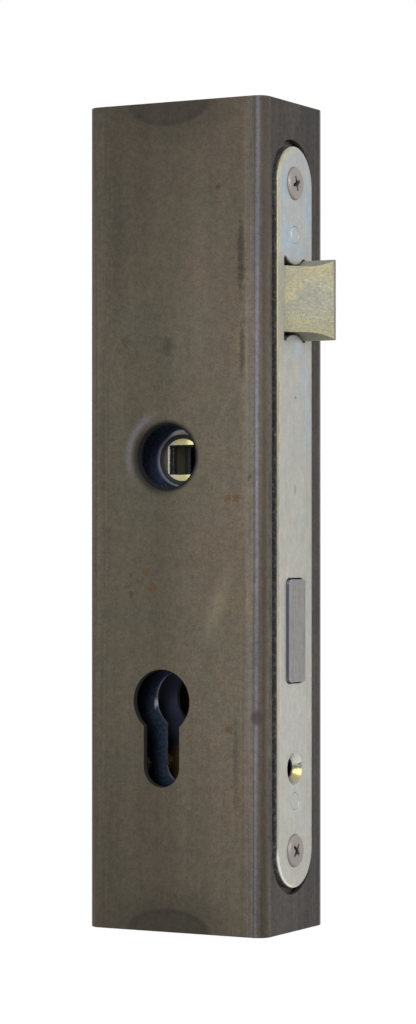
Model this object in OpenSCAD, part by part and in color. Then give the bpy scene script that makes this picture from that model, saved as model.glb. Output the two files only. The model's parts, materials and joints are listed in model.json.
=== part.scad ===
// Mortise lock fitted in a weld-in steel lock box for a gate.
// Frame: +X is the way the bolts shoot, -Y is the handle side in the photo, +Z is up.
// The origin is the centre of the box tube's lower end.

/* [Box tube] */
// Depth of the tube along the throw of the bolts
tube_w = 60; // [56:0.5:70]
// Thickness of the tube across the gate
tube_d = 40; // [36:0.5:50]
// Length of the tube beyond each end of the faceplate
tube_end = 13; // [10:0.5:30]
// Wall of the tube
tube_wall = 2; // [1.5:0.1:2.5]
// Outside radius of the tube's corners
tube_corner = 4; // [3:0.25:5]
// Gap round the faceplate in the tube's front slot
slot_margin = 1.85; // [1:0.05:2.5]
// Sideways shift of the front slot from the middle of the lock
slot_shift = -1.4; // [-1.5:0.1:0]
// Diameter of the handle hole in both wide faces
handle_hole_d = 18.8; // [16:0.1:22]
// Forward shift of the handle hole from the follower's axis
handle_hole_shift = 1.8; // [0:0.1:2]
// Rise of the handle hole from the follower's axis
handle_hole_rise = 0.6; // [0:0.1:1]
// Rounded lead-in round the handle hole
handle_hole_lead = 0.6; // [0.4:0.1:1.2]
// Room round the cylinder in the tube's profile holes
tube_profile_room = 0.85; // [0.5:0.05:1.5]

/* [Brackets] */
// Thickness of the bent brackets at the tube's ends
bracket_t = 4; // [3:0.25:5]
// Width of the bracket's flange behind the faceplate
flange_w = 26; // [20:0.5:28]
// Length of the bracket's leg from the faceplate backwards
leg_len = 39; // [30:0.5:44]
// Setback of the bracket's leg from the tube's end, filled by the weld
leg_setback = 2; // [1.5:0.1:4]
// Gap between the bracket's leg and the tube's wide walls
leg_gap = 0.2; // [0.1:0.05:0.4]
// Length of each weld bead
weld_len = 15; // [8:0.5:24]
// Distance of the weld's middle from the end of the bracket's leg
weld_in = 9.6; // [6:0.1:20]

/* [Faceplate] */
// Distance from a fixing screw to the end of the faceplate
plate_end = 11; // [10:0.5:14]
// Width of the faceplate
plate_w = 22.5; // [20:0.5:24]
// Thickness of the faceplate
plate_t = 3; // [2.5:0.1:4]
// Height of the faceplate's front above the tube's front
plate_proud = 0.1; // [0:0.1:1.5]
// Sideways shift of the whole lock from the middle of the tube
lock_shift = -0.4; // [-1.5:0.1:1]
// Distance of the fixing screws beyond the ends of the case
screw_beyond = 10; // [8:0.5:14]
// Thread diameter of the fixing screws and of the cylinder screw
screw_d = 5; // [4:0.5:5]
// Head diameter of the fixing screws
screw_head_d = 9.8; // [8.5:0.1:10]
// Height of the raised crown on the fixing screws' heads
screw_crown = 0.7; // [0.1:0.1:0.8]
// Length of the fixing screws
screw_len = 12; // [10:0.5:16]
// Countersink diameter of the empty cylinder-screw hole
cylinder_screw_sink_d = 10; // [9:0.1:10.5]
// Distance of the cylinder screw below the cylinder's axis
cylinder_screw_drop = 19.9; // [18:0.1:21]
// Diameter of the flush rivets that hold the case on the faceplate
rivet_d = 5; // [4:0.1:6]
// Distance of the upper rivet below the case's top
rivet_top_in = 5.3; // [5:0.1:7]
// Distance of the lower rivet above the case's bottom
rivet_low_in = 4.7; // [4.6:0.1:7]

/* [Lock case] */
// Backset from the faceplate's front to the follower and cylinder axes
backset = 34.5; // [34:0.5:37]
// Distance of the latch's axis below the top of the case
latch_in = 24.5; // [23.5:0.1:28]
// Height of the latch's axis above the follower
latch_up = 47.2; // [44:0.1:50]
// Distance from the follower's axis to the cylinder's axis
centres = 72; // [68:0.5:92]
// Depth of the case below the cylinder's axis
case_under = 34.3; // [33:0.1:38]
// Outside thickness of the case
case_t = 15; // [13.6:0.1:16]
// Sheet of the tray and the cover
sheet = 1.5; // [1.2:0.1:1.8]
// Radius that a profile cylinder's cam sweeps
cam_sweep_r = 15.3; // [15:0.1:16]
// Room round the cylinder in the case's profile holes
case_profile_room = 0.3; // [0.2:0.05:0.8]
// Diameter of the spacer posts between tray and cover
post_d = 5.5; // [5:0.1:6]
// Thread diameter of the cover screws
cover_screw_d = 3; // [2.5:0.1:3.5]
// Head diameter of the cover screws
cover_screw_head_d = 5.2; // [4.6:0.1:5.6]

/* [Follower] */
// Square hole for the handle spindle
spindle_sq = 8; // [7:0.5:9]
// Diameter of the follower's journals
journal_d = 12.8; // [12.6:0.1:14]
// Diameter of the follower's cheeks
cheek_d = 17.2; // [16.6:0.1:18]
// Thickness of the follower's arm plate
arm_t = 5; // [4:0.1:5.4]
// Turn of the follower from rest to its stop, in degrees
follower_turn = 32; // [26:1:36]
// Radius of the round tip on the follower's arm
arm_tip_r = 2.5; // [2.2:0.1:2.8]
// Wall of the plastic bushes that carry the follower
bush_wall = 1.15; // [0.8:0.05:1.5]

/* [Latch] */
// Thickness of the latch head
latch_w = 13.4; // [12:0.1:13.5]
// Height of the latch head
latch_h = 23.9; // [23:0.1:24.4]
// Projection of the latch in front of the faceplate
latch_out = 10.2; // [9:0.1:12]
// Travel of the latch
latch_travel = 10; // [9:0.1:10.4]
// Length of the latch head behind the faceplate's front
latch_body = 18.4; // [17.5:0.1:19]
// Flat left at the latch's tip
latch_tip = 1.4; // [0.8:0.1:2.5]
// Hollow of the latch's slanted face
latch_hollow = 0.8; // [0.4:0.1:1.2]
// Depth of the guide grooves along the latch
groove_d = 2.2; // [1.8:0.1:2.6]
// Width of the faceplate tongues that run in the grooves
tongue_w = 10.6; // [9:0.1:11]
// Reach of the tongues into the latch opening
tongue_d = 2; // [1.5:0.1:2.2]
// Thickness of the latch tail
latch_tail_t = 4; // [3:0.1:4.6]
// Height of the latch tail's bar
latch_bar_h = 10; // [9:0.1:10.4]

/* [Deadbolt] */
// Height of the deadbolt's axis above the cylinder's axis
bolt_up = 21; // [20:0.1:21.5]
// Thickness of the deadbolt head
bolt_w = 10.4; // [9:0.1:10.6]
// Height of the deadbolt head
bolt_h = 30.4; // [28:0.1:31]
// Height of the drawn-back bolt above the faceplate's front
bolt_proud = 0.9; // [0:0.1:1]
// Throw of the deadbolt
bolt_throw = 14.5; // [13:0.1:15]
// Corner radius of the deadbolt head
bolt_corner = 1.3; // [0.8:0.1:2]
// Thickness of the deadbolt tail
bolt_tail_t = 4; // [3:0.1:4.2]
// Width of the talon notch that the cam drives
talon_w = 9; // [8.5:0.1:10]

/* [Tumbler] */
// Thickness of the tumbler
tumbler_t = 2.2; // [1.8:0.1:2.4]
// Width of the tumbler's stump
stump_w = 3.6; // [3:0.1:4]
// Depth of the notch that the stump drops in when the bolt is out
notch_d = 2; // [1.5:0.1:2.2]

/* [Springs] */
// Wire of the latch spring
latch_wire = 0.8; // [0.6:0.05:1]
// Middle diameter of the latch spring's coils
latch_coil_d = 5.6; // [5:0.1:6]
// Turns of the latch spring
latch_turns = 10; // [8:1:12]
// Wire of the follower spring
follower_wire = 0.9; // [0.7:0.05:1]
// Middle diameter of the follower spring's coils
follower_coil_d = 4.6; // [4:0.1:4.8]
// Turns of the follower spring
follower_turns = 7; // [6:1:8]
// Wire of the tumbler spring
tumbler_wire = 0.5; // [0.4:0.05:0.6]
// Middle diameter of the tumbler spring's coils
tumbler_coil_d = 3.2; // [2.8:0.1:3.2]
// Turns of the tumbler spring
tumbler_turns = 6; // [4:1:7]

/* [Clearances] */
// Radial clearance of a turning or sliding fit
run_gap = 0.05; // [0.02:0.01:0.1]
// Clearance of the latch at the sides of its opening
latch_side_gap = 0.25; // [0.2:0.05:0.5]
// Clearance of the latch above and below
latch_end_gap = 0.4; // [0.3:0.05:0.6]
// Clearance of the deadbolt in its opening
bolt_gap = 0.35; // [0.3:0.05:0.5]
// Clearance between pieces that pass each other
pass_gap = 0.2; // [0.15:0.05:0.3]
// Clearance of a screw in a plain hole
screw_gap = 0.25; // [0.15:0.05:0.3]

/* [Hidden] */
$fn = 48;

// Depth that a cut runs past a face
past = 1;
// Depth by which the solids of one piece run into each other
bite = 0.3;

// Heights that follow from the lock's axes
case_h = latch_in + latch_up + centres + case_under;
screw_span = case_h + 2 * screw_beyond;
plate_len = screw_span + 2 * plate_end;
tube_h = plate_len + 2 * tube_end;

// Faceplate and axes
plate_front = tube_w / 2 + plate_proud;
plate_rear = plate_front - plate_t;
plate_z = tube_h / 2;
case_top = plate_z + case_h / 2;
case_bottom = plate_z - case_h / 2;
lock_x = plate_front - backset;
latch_z = case_top - latch_in;
follower_z = latch_z - latch_up;
cylinder_z = follower_z - centres;
bolt_z = cylinder_z + bolt_up;

// Profile cylinder: round body, narrow web and overall height
cylinder_d = 17;
cylinder_web = 10;
cylinder_h = 33;
web_centre = cylinder_h - cylinder_d / 2 - cylinder_web / 2;

// Case, measured from the middle of the lock across its thickness
case_out = case_t / 2;
case_in = case_out - sheet;
rear_room = 0.9;
case_rear = lock_x - cam_sweep_r - rear_room;
RIVETS = [case_top - rivet_top_in, case_bottom + rivet_low_in];
rivet_hole_d = rivet_d + 2 * run_gap;
lug_h = 2 * (rivet_low_in - pass_gap);
flange_room = 1.6;
rim_w = 1.1;
rim_depth = 0.6;
spigot_step = 1;

// Follower bearing
bush_bore_r = journal_d / 2 + run_gap;
bush_r = bush_bore_r + bush_wall;
bush_flange_t = 1;
bush_flange_r = bush_r + bush_flange_t;
journal_inset = 1;
journal_end = case_out - journal_inset;
cheek_end = case_in - bush_flange_t - pass_gap;
dowel_d = 2;
dowel_rim = 0.6;
dowel_ring_r = cheek_d / 2 - dowel_rim - dowel_d / 2;
spindle_room = 0.05;
spindle_lead = 0.35;
arm_r = latch_travel / (2 * sin(follower_turn / 2));
arm_neck = 3.2;
arm_root = 9;
spring_arm_root = 7;
spring_arm_r = 12.2;
spring_arm_tip_r = 2.4;
spring_arm_rise = 8;

// Latch
latch_rear = plate_front - latch_body;
latch_front = plate_front + latch_out;
tongue_r = (tongue_w * tongue_w / 4 + tongue_d * tongue_d) / (2 * tongue_d);
latch_open_h = latch_h + 2 * latch_end_gap;
latch_open_w = latch_w + 2 * latch_side_gap;
tongue_centre = latch_open_h / 2 - tongue_d + tongue_r;
groove_r = tongue_centre - latch_h / 2 + groove_d;
bevel_sunk = 0.6;
bevel_start = plate_front - bevel_sunk;
leg_front = lock_x + arm_r * sin(follower_turn / 2) - arm_tip_r - pass_gap;
leg_w = 6;
leg_reach = 1.5;
leg_bottom = follower_z + arm_r * cos(follower_turn / 2) - leg_reach;
bar_drop = 6.4;
bar_z = latch_z - bar_drop;
tail_grip = 9;
latch_pin_d = 3;
latch_pin_x = latch_rear + tail_grip / 2;
latch_post_d = 4.5;
latch_post_ahead = 3.6;
latch_post_x = lock_x + latch_post_ahead;
latch_spring_up = 5;
latch_spring_z = latch_z + latch_spring_up;
latch_spring_hole = 8.4;
window_room = 1;

// Deadbolt
bolt_front = plate_front + bolt_proud;
cam_room = 1.3;
bolt_head_rear = lock_x + cam_sweep_r + cam_room;
bolt_top = bolt_z + bolt_h / 2;
tail_above_cylinder = 1.5;
bolt_tail_bottom = cylinder_z + cylinder_d / 2 + case_profile_room + tail_above_cylinder;
talon_room = 0.6;
talon_top = cylinder_z + cam_sweep_r + talon_room;
talon_x = lock_x - bolt_throw / 2;
talon_wall = 3;
bolt_tail_rear = talon_x - talon_w / 2 - talon_wall;
bolt_grip = 8;
bolt_post_d = 5;
bolt_post_ahead = 8.6;
bolt_post_x = lock_x + bolt_post_ahead;
bolt_post_up = 3.7;
bolt_post_z = bolt_z + bolt_post_up;
bolt_rivet_d = 4;

// Tumbler, in its own layer between the bolt's tail and the tray
tumbler_near = bolt_tail_t / 2 + 2 * pass_gap;
tumbler_far = tumbler_near + tumbler_t;
tumbler_behind = 9.4;
tumbler_x = lock_x - tumbler_behind;
tumbler_above = 5.5;
tumbler_z = bolt_top + tumbler_above;
tumbler_boss_r = 4.6;
tumbler_pivot_d = 4.5;
tumbler_len = 21;
tumbler_front = tumbler_x + tumbler_len;
tumbler_bar_gap = 2;
tumbler_bar_bottom = bolt_top + tumbler_bar_gap;
tumbler_bar_h = 7.5;
tumbler_bar_top = tumbler_bar_bottom + tumbler_bar_h;
tumbler_leg_behind = 1.4;
tumbler_leg_x = lock_x - tumbler_leg_behind;
tumbler_leg_w = 7;
tumbler_leg_dip = 2.6;
tumbler_leg_bottom = talon_top - tumbler_leg_dip;
stump_ahead = 6.6;
stump_x = lock_x + stump_ahead;
stump_h = 4.5;
stump_bottom = bolt_top + pass_gap;
notch_room = 0.5;

// Spring seats bent out of the tray
seat_w = 8;
latch_seat_in = 6.8;
latch_seat_x = case_rear + latch_seat_in;
follower_spring_x = lock_x - spring_arm_r * cos(spring_arm_rise);
spring_arm_tip_z = follower_z + spring_arm_r * sin(spring_arm_rise);
follower_spring_top = spring_arm_tip_z - spring_arm_tip_r - pass_gap;
follower_seat_above = 4.8;
follower_seat_z = tumbler_z + tumbler_boss_r + follower_seat_above;
follower_spring_len = follower_spring_top - follower_seat_z;
tumbler_spring_ahead = 4.6;
tumbler_spring_x = lock_x + tumbler_spring_ahead;
tumbler_seat_below = 3.6;
tumbler_seat_z = follower_z - cheek_d / 2 - tumbler_seat_below;
tumbler_spring_len = tumbler_seat_z - tumbler_bar_top;
latch_spring_front = latch_rear + latch_spring_hole - pass_gap;
latch_spring_len = latch_spring_front - latch_seat_x;
peg_len = 3;

// Places of the spacer posts along X and Z
rear_post_in = 3.5;
front_post_in = 7.4;
top_post_in = 7;
latch_post_drop = 22.5;
bolt_post_rise = 13.5;
screw_post_drop = 8.7;
POSTS = [
    [case_rear + rear_post_in, cylinder_z - web_centre],
    [case_rear + rear_post_in, case_top - top_post_in],
    [plate_rear - front_post_in, bolt_top + bolt_post_rise],
    [plate_rear - front_post_in, latch_z - latch_post_drop],
    [plate_rear - front_post_in, cylinder_z - screw_post_drop]
];

// Colours
MILL_SCALE = [0.42, 0.39, 0.35];
DARK_STEEL = [0.33, 0.31, 0.30];
BLUE_ZINC = [0.24, 0.28, 0.34];
BRIGHT_ZINC = [0.70, 0.70, 0.68];
YELLOW_ZINC = [0.86, 0.82, 0.58];
CHROMATE = [0.72, 0.70, 0.57];
GREY_STEEL = [0.54, 0.53, 0.52];
BLACK_PLASTIC = [0.12, 0.12, 0.13];

// Place lock pieces on the lock's own middle plane
module in_lock() {
    translate([0, lock_shift, 0]) children();
}

// Extrude an outline drawn in X and Z from y0 to y1
module plate_xz(y0, y1) {
    translate([0, y1, 0]) rotate([90, 0, 0]) linear_extrude(height = y1 - y0) children();
}

// Extrude an outline drawn in Y and Z from x0 to x1
module plate_yz(x0, x1) {
    translate([x0, 0, 0]) rotate([90, 0, 90]) linear_extrude(height = x1 - x0) children();
}

// Round bar along Y
module bar_y(x, z, d, y0, y1) {
    translate([x, y0, z]) rotate([-90, 0, 0]) cylinder(d = d, h = y1 - y0);
}

// Round bar or cone along X
module bar_x(y, z, d0, d1, x0, x1) {
    translate([x0, y, z]) rotate([0, 90, 0]) cylinder(d1 = d0, d2 = d1, h = x1 - x0);
}

// Rectangle with round corners about the origin
module round_rect(w, h, r) {
    square([w - 2 * r, h], center = true);
    square([w, h - 2 * r], center = true);
    for (sx = [-1, 1], sy = [-1, 1]) {
        translate([sx * (w / 2 - r), sy * (h / 2 - r)]) circle(r = r);
    }
}

// Upright slot with half-round ends
module upright_slot(w, len) {
    square([w, len - w], center = true);
    for (s = [-1, 1]) {
        translate([0, s * (len - w) / 2]) circle(d = w);
    }
}

// Level slot between two centres, drawn in X and Z
module level_slot(x0, x1, z, d) {
    translate([x0, z - d / 2]) square([x1 - x0, d]);
    translate([x0, z]) circle(d = d);
    translate([x1, z]) circle(d = d);
}

// Profile-cylinder hole with room all round
module cylinder_profile(room) {
    circle(d = cylinder_d + 2 * room);
    translate([-cylinder_web / 2 - room, -web_centre]) square([cylinder_web + 2 * room, web_centre]);
    translate([0, -web_centre]) circle(d = cylinder_web + 2 * room);
}

// Points along a coil about Z and its least gap to itself
COIL_STEPS = 8;
WIRE_SIDES = 6;
function coil_point(i, r, len, wire, turns) =
    let (share = i / (turns * COIL_STEPS), a = 360 * i / COIL_STEPS)
    [r * cos(a), r * sin(a), wire / 2 + share * (len - wire)];
function wire_ring(i, r, len, wire, turns) =
    let (
        a = 360 * i / COIL_STEPS,
        out = [cos(a), sin(a), 0],
        rise = (len - wire) / (turns * 360),
        along = [-r * sin(a) * PI / 180, r * cos(a) * PI / 180, rise],
        up = cross(along / norm(along), out),
        c = coil_point(i, r, len, wire, turns)
    )
    [for (k = [0 : WIRE_SIDES - 1])
        let (b = 360 * k / WIRE_SIDES)
        c + wire / 2 * (cos(b) * out + sin(b) * up)];
function coil_gap(r, len, wire, turns) =
    let (n = turns * COIL_STEPS, p = [for (i = [0 : n]) coil_point(i, r, len, wire, turns)])
    min([for (i = [0 : n], j = [i + COIL_STEPS / 2 : n]) norm(p[i] - p[j])]) - wire;

// Coil spring standing on Z = 0
module coil_spring(d, len, wire, turns, name) {
    n = turns * COIL_STEPS;
    s = WIRE_SIDES;
    points = [for (i = [0 : n]) each wire_ring(i, d / 2, len, wire, turns)];
    sides = [for (i = [0 : n - 1], k = [0 : s - 1])
        let (m = (k + 1) % s)
        each [[i * s + k, i * s + m, (i + 1) * s + m], [i * s + k, (i + 1) * s + m, (i + 1) * s + k]]];
    caps = [for (k = [1 : s - 2]) each [[0, k + 1, k], [n * s, n * s + k, n * s + k + 1]]];
    echo(str(name, " least gap to itself: ", coil_gap(d / 2, len, wire, turns)));
    polyhedron(points = points, faces = concat(sides, caps));
}

// Rectangular tube with the front slot, handle holes and cylinder holes
module box_tube() {
    inner_w = tube_w - 2 * tube_wall;
    inner_d = tube_d - 2 * tube_wall;
    lead_d = handle_hole_d + 2 * handle_hole_lead;
    hole_x = lock_x + handle_hole_shift;
    hole_z = follower_z + handle_hole_rise;
    color(MILL_SCALE) difference() {
        linear_extrude(height = tube_h) round_rect(tube_w, tube_d, tube_corner);
        translate([0, 0, -past]) linear_extrude(height = tube_h + 2 * past)
            round_rect(inner_w, inner_d, tube_corner - tube_wall);
        translate([0, lock_shift + slot_shift, plate_z])
            plate_yz(tube_w / 2 - tube_wall - past, tube_w / 2 + past)
            upright_slot(plate_w + 2 * slot_margin, plate_len + 2 * slot_margin);
        bar_y(hole_x, hole_z, handle_hole_d, -tube_d, tube_d);
        for (side = [0, 180]) rotate([0, 0, side])
            translate([(side == 0 ? 1 : -1) * hole_x, -tube_d / 2, hole_z])
            rotate([-90, 0, 0]) cylinder(d1 = lead_d, d2 = handle_hole_d, h = handle_hole_lead);
        translate([lock_x, 0, cylinder_z]) plate_xz(-tube_d, tube_d) cylinder_profile(tube_profile_room);
    }
}

// Bracket at the upper end: flange behind the faceplate and leg across the tube
module end_bracket() {
    leg_top = tube_h - leg_setback;
    bracket_w = tube_d - 2 * tube_wall - 2 * leg_gap;
    flange_low = case_top + flange_room;
    flange_back = plate_rear - bracket_t;
    difference() {
        union() {
            translate([flange_back, lock_shift - flange_w / 2, flange_low])
                cube([bracket_t, flange_w, leg_top - flange_low]);
            translate([plate_rear - leg_len, -bracket_w / 2, leg_top - bracket_t])
                cube([leg_len - bracket_t, bracket_w, bracket_t]);
        }
        bar_x(lock_shift, plate_z + screw_span / 2, screw_d + 2 * run_gap, screw_d + 2 * run_gap,
            flange_back - past, plate_rear + past);
    }
}

// Turn a piece of the upper end over to the lower end
module at_lower_end() {
    translate([0, 0, plate_z]) mirror([0, 0, 1]) translate([0, 0, -plate_z]) children();
}

module upper_bracket() {
    color(DARK_STEEL) end_bracket();
}

module lower_bracket() {
    color(DARK_STEEL) at_lower_end() end_bracket();
}

// Quarter-round bead between the bracket's leg and one wide wall
module weld_bead() {
    leg_top = tube_h - leg_setback;
    wall_y = tube_d / 2 - tube_wall;
    bead_r = leg_setback - leg_gap / 2;
    mid_x = plate_rear - leg_len + weld_in;
    intersection() {
        translate([mid_x - weld_len, wall_y - 2 * bead_r, leg_top])
            cube([2 * weld_len, 2 * bead_r, bead_r]);
        union() {
            bar_x(wall_y, leg_top, 2 * bead_r, 2 * bead_r, mid_x - weld_len / 2, mid_x + weld_len / 2);
            for (s = [-1, 1]) translate([mid_x + s * weld_len / 2, wall_y, leg_top]) sphere(r = bead_r);
        }
    }
}

module bracket_welds() {
    color(DARK_STEEL) {
        for (side = [0, 1]) mirror([0, side, 0]) {
            weld_bead();
            at_lower_end() weld_bead();
        }
    }
}

// Opening for the latch, with the two tongues that guide it
module latch_opening() {
    difference() {
        square([latch_open_w, latch_open_h], center = true);
        for (s = [-1, 1]) translate([0, s * tongue_centre]) circle(r = tongue_r);
    }
}

// Countersunk through hole in the faceplate
module sunk_hole(z, head_d, hole_d) {
    sink = (head_d - hole_d) / 2;
    bar_x(0, z, hole_d, hole_d, plate_rear - past, plate_front + past);
    bar_x(0, z, hole_d, head_d, plate_front - sink, plate_front);
    bar_x(0, z, head_d, head_d, plate_front, plate_front + past);
}

// Long zinc-plated plate with half-round ends
module faceplate() {
    hole_d = screw_d + 2 * screw_gap;
    color(BRIGHT_ZINC) in_lock() difference() {
        translate([0, 0, plate_z]) plate_yz(plate_rear, plate_front) upright_slot(plate_w, plate_len);
        translate([0, 0, latch_z]) plate_yz(plate_rear - past, plate_front + past) latch_opening();
        translate([0, 0, bolt_z]) plate_yz(plate_rear - past, plate_front + past)
            round_rect(bolt_w + 2 * bolt_gap, bolt_h + 2 * bolt_gap, bolt_corner + bolt_gap);
        for (s = [-1, 1]) sunk_hole(plate_z + s * screw_span / 2, screw_head_d + 2 * run_gap, hole_d);
        sunk_hole(cylinder_z - cylinder_screw_drop, cylinder_screw_sink_d, hole_d);
        for (z = RIVETS) bar_x(0, z, rivet_hole_d, rivet_hole_d, plate_rear - past, plate_front + past);
    }
}

// Countersunk screw with a cross recess, through the faceplate into a bracket
module faceplate_screw(z, recess_turn) {
    sink = (screw_head_d - screw_d) / 2;
    crown_w = 0.5;
    recess_w = 1;
    recess_len = 4.6;
    recess_d = 1.9;
    difference() {
        union() {
            bar_x(0, z, screw_d, screw_d, plate_front - screw_len, plate_front - sink);
            bar_x(0, z, screw_d, screw_head_d, plate_front - sink, plate_front);
            bar_x(0, z, screw_head_d, screw_head_d - 2 * crown_w, plate_front, plate_front + screw_crown);
        }
        for (turn = [0, 90]) translate([plate_front - recess_d, 0, z]) rotate([turn + recess_turn, 0, 0])
            translate([0, -recess_len / 2, -recess_w / 2]) cube([recess_d + past, recess_len, recess_w]);
    }
}

module faceplate_screws() {
    upper_turn = 20;
    lower_turn = 50;
    color(GREY_STEEL) in_lock() {
        faceplate_screw(plate_z + screw_span / 2, upper_turn);
        faceplate_screw(plate_z - screw_span / 2, lower_turn);
    }
}

// Flush rivets through the faceplate and the tray's front lugs
module faceplate_rivets() {
    tail_d = 2 * (rivet_low_in - sheet - pass_gap);
    tail_t = 1.2;
    flush = 0.1;
    color(BRIGHT_ZINC) in_lock() {
        for (z = RIVETS) {
            bar_x(0, z, rivet_d, rivet_d, plate_rear - sheet - bite, plate_front - flush);
            bar_x(0, z, tail_d, tail_d, plate_rear - sheet - tail_t, plate_rear - sheet);
        }
    }
}

// Holes that tray and cover share
module case_side_holes() {
    window_rear = latch_rear - latch_travel - window_room;
    translate([lock_x, follower_z]) circle(r = bush_r + run_gap);
    translate([lock_x, cylinder_z]) cylinder_profile(case_profile_room);
    translate([window_rear, latch_z - latch_open_h / 2])
        square([plate_rear - window_rear + past, latch_open_h]);
}

// Rounded-off rim of the follower's hole on the near outer face
module follower_rim() {
    rim_d = 2 * (bush_r + run_gap);
    translate([lock_x, -case_out, follower_z]) rotate([-90, 0, 0])
        cylinder(d1 = rim_d + 2 * rim_w, d2 = rim_d, h = rim_depth);
}

module case_side() {
    translate([case_rear - sheet, case_bottom]) square([plate_rear - case_rear + sheet, case_h]);
}

// Peg inside a coil spring on one of the tray's seats
module spring_peg(coil_d, wire, len) {
    cylinder(d = coil_d - wire - 4 * pass_gap, h = len);
}

// Hole in the tray for a post's riveted spigot
module spigot_hole(x, z, d) {
    bar_y(x, z, d - spigot_step + 2 * run_gap, case_in - past, case_out + past);
}

// Deep half of the case: far side, three walls, front lugs and bent spring seats
module case_tray() {
    seat_near = -seat_w / 2 + pass_gap;
    follower_seat_len = follower_spring_x + seat_w / 2 - case_rear + bite;
    color(BLUE_ZINC) in_lock() difference() {
        union() {
            plate_xz(case_in, case_out) case_side();
            translate([case_rear - sheet, -case_in, case_bottom]) cube([sheet, case_in + case_out, case_h]);
            for (z = [case_bottom, case_top - sheet]) translate([case_rear - sheet, -case_in, z])
                cube([plate_rear - case_rear + sheet, case_in + case_out, sheet]);
            for (z = RIVETS)
                translate([plate_rear - sheet, -case_in + pass_gap, z - lug_h / 2])
                cube([sheet, case_in + case_out - pass_gap, lug_h]);
            translate([latch_seat_x - sheet, seat_near, latch_spring_z - seat_w / 2])
                cube([sheet, case_in - seat_near + bite, seat_w]);
            translate([latch_seat_x - bite, 0, latch_spring_z]) rotate([0, 90, 0])
                spring_peg(latch_coil_d, latch_wire, peg_len + bite);
            translate([case_rear - bite, seat_near, follower_seat_z - sheet])
                cube([follower_seat_len, case_in - seat_near + bite, sheet]);
            translate([follower_spring_x, 0, follower_seat_z - bite])
                spring_peg(follower_coil_d, follower_wire, peg_len + bite);
            translate([tumbler_spring_x - seat_w / 2, 0, tumbler_seat_z])
                cube([seat_w, case_in + bite, sheet]);
            translate([tumbler_spring_x, (tumbler_near + tumbler_far) / 2, tumbler_seat_z - peg_len])
                spring_peg(tumbler_coil_d, tumbler_wire, peg_len + bite);
        }
        plate_xz(case_in - past, case_out + past) case_side_holes();
        mirror([0, 1, 0]) follower_rim();
        for (z = RIVETS)
            bar_x(0, z, rivet_hole_d, rivet_hole_d, plate_rear - sheet - past, plate_rear + past);
        for (p = POSTS) spigot_hole(p[0], p[1], post_d);
        spigot_hole(latch_post_x, bar_z, latch_post_d);
        spigot_hole(bolt_post_x, bolt_post_z, bolt_post_d);
        spigot_hole(tumbler_x, tumbler_z, tumbler_pivot_d);
    }
}

// Flat near side of the case
module case_cover() {
    color(BLUE_ZINC) in_lock() difference() {
        plate_xz(-case_out, -case_in) case_side();
        plate_xz(-case_out - past, -case_in + past) case_side_holes();
        follower_rim();
        for (p = POSTS) bar_y(p[0], p[1], cover_screw_d + 2 * screw_gap, -case_out - past, -case_in + past);
    }
}

// Post riveted in the tray, with its shoulder against the sheet
module tray_post(x, z, d) {
    bar_y(x, z, d, -case_in, case_in);
    bar_y(x, z, d - spigot_step, case_in - bite, case_out);
}

// Tapped posts that hold tray and cover apart
module spacer_posts() {
    color(YELLOW_ZINC) in_lock() difference() {
        for (p = POSTS) tray_post(p[0], p[1], post_d);
        for (p = POSTS) bar_y(p[0], p[1], cover_screw_d + 2 * run_gap, -case_in - past, case_in - sheet);
    }
}

// Pan-head screws through the cover into the posts
module cover_screws() {
    head_t = 1.5;
    drive_w = 0.8;
    drive_d = 0.7;
    drive_turn = 35;
    color(YELLOW_ZINC) in_lock() {
        for (p = POSTS) difference() {
            union() {
                bar_y(p[0], p[1], cover_screw_d, -case_out - bite, case_in - 2 * sheet);
                bar_y(p[0], p[1], cover_screw_head_d, -case_out - head_t, -case_out);
            }
            translate([p[0], -case_out - head_t, p[1]]) rotate([0, drive_turn, 0])
                cube([2 * cover_screw_head_d, 2 * drive_d, drive_w], center = true);
        }
    }
}

// Post in the latch tail's slot
module latch_guide_post() {
    color(YELLOW_ZINC) in_lock() tray_post(latch_post_x, bar_z, latch_post_d);
}

// Post in the deadbolt tail's slot
module bolt_guide_post() {
    color(YELLOW_ZINC) in_lock() tray_post(bolt_post_x, bolt_post_z, bolt_post_d);
}

// Post that the tumbler turns on
module tumbler_pivot() {
    color(YELLOW_ZINC) in_lock() tray_post(tumbler_x, tumbler_z, tumbler_pivot_d);
}

// Plastic bearing rings of the follower, one in each side of the case
module follower_bushes() {
    color(BLACK_PLASTIC) in_lock() {
        for (side = [0, 1]) mirror([0, side, 0]) difference() {
            union() {
                bar_y(lock_x, follower_z, 2 * bush_r, -journal_end, -case_in + bite);
                bar_y(lock_x, follower_z, 2 * bush_flange_r, -case_in, -case_in + bush_flange_t);
            }
            bar_y(lock_x, follower_z, 2 * bush_bore_r, -case_out, 0);
        }
    }
}

// Square spindle hole from y0 to y1
module spindle_hole(y0, y1, side) {
    translate([lock_x - side / 2, y0, follower_z - side / 2]) cube([side, y1 - y0, side]);
}

// Places of the dowels round the follower
module dowel_places() {
    for (turn = [30, 150, 270]) {
        translate([lock_x + dowel_ring_r * cos(turn), 0, follower_z + dowel_ring_r * sin(turn)]) children();
    }
}

// Two outer laminations of the follower, each with its journal
module follower_cheeks() {
    side = spindle_sq + 2 * spindle_room;
    color(YELLOW_ZINC) in_lock() {
        for (far = [0, 1]) mirror([0, far, 0]) difference() {
            union() {
                bar_y(lock_x, follower_z, cheek_d, -cheek_end, -arm_t / 2);
                bar_y(lock_x, follower_z, journal_d, -journal_end, -cheek_end + bite);
            }
            spindle_hole(-case_out, 0, side);
            spindle_hole(-case_out, -journal_end + spindle_lead, side + 2 * spindle_lead);
            dowel_places() bar_y(0, 0, dowel_d + 2 * run_gap, -cheek_end + sheet / 2, 0);
        }
    }
}

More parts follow.
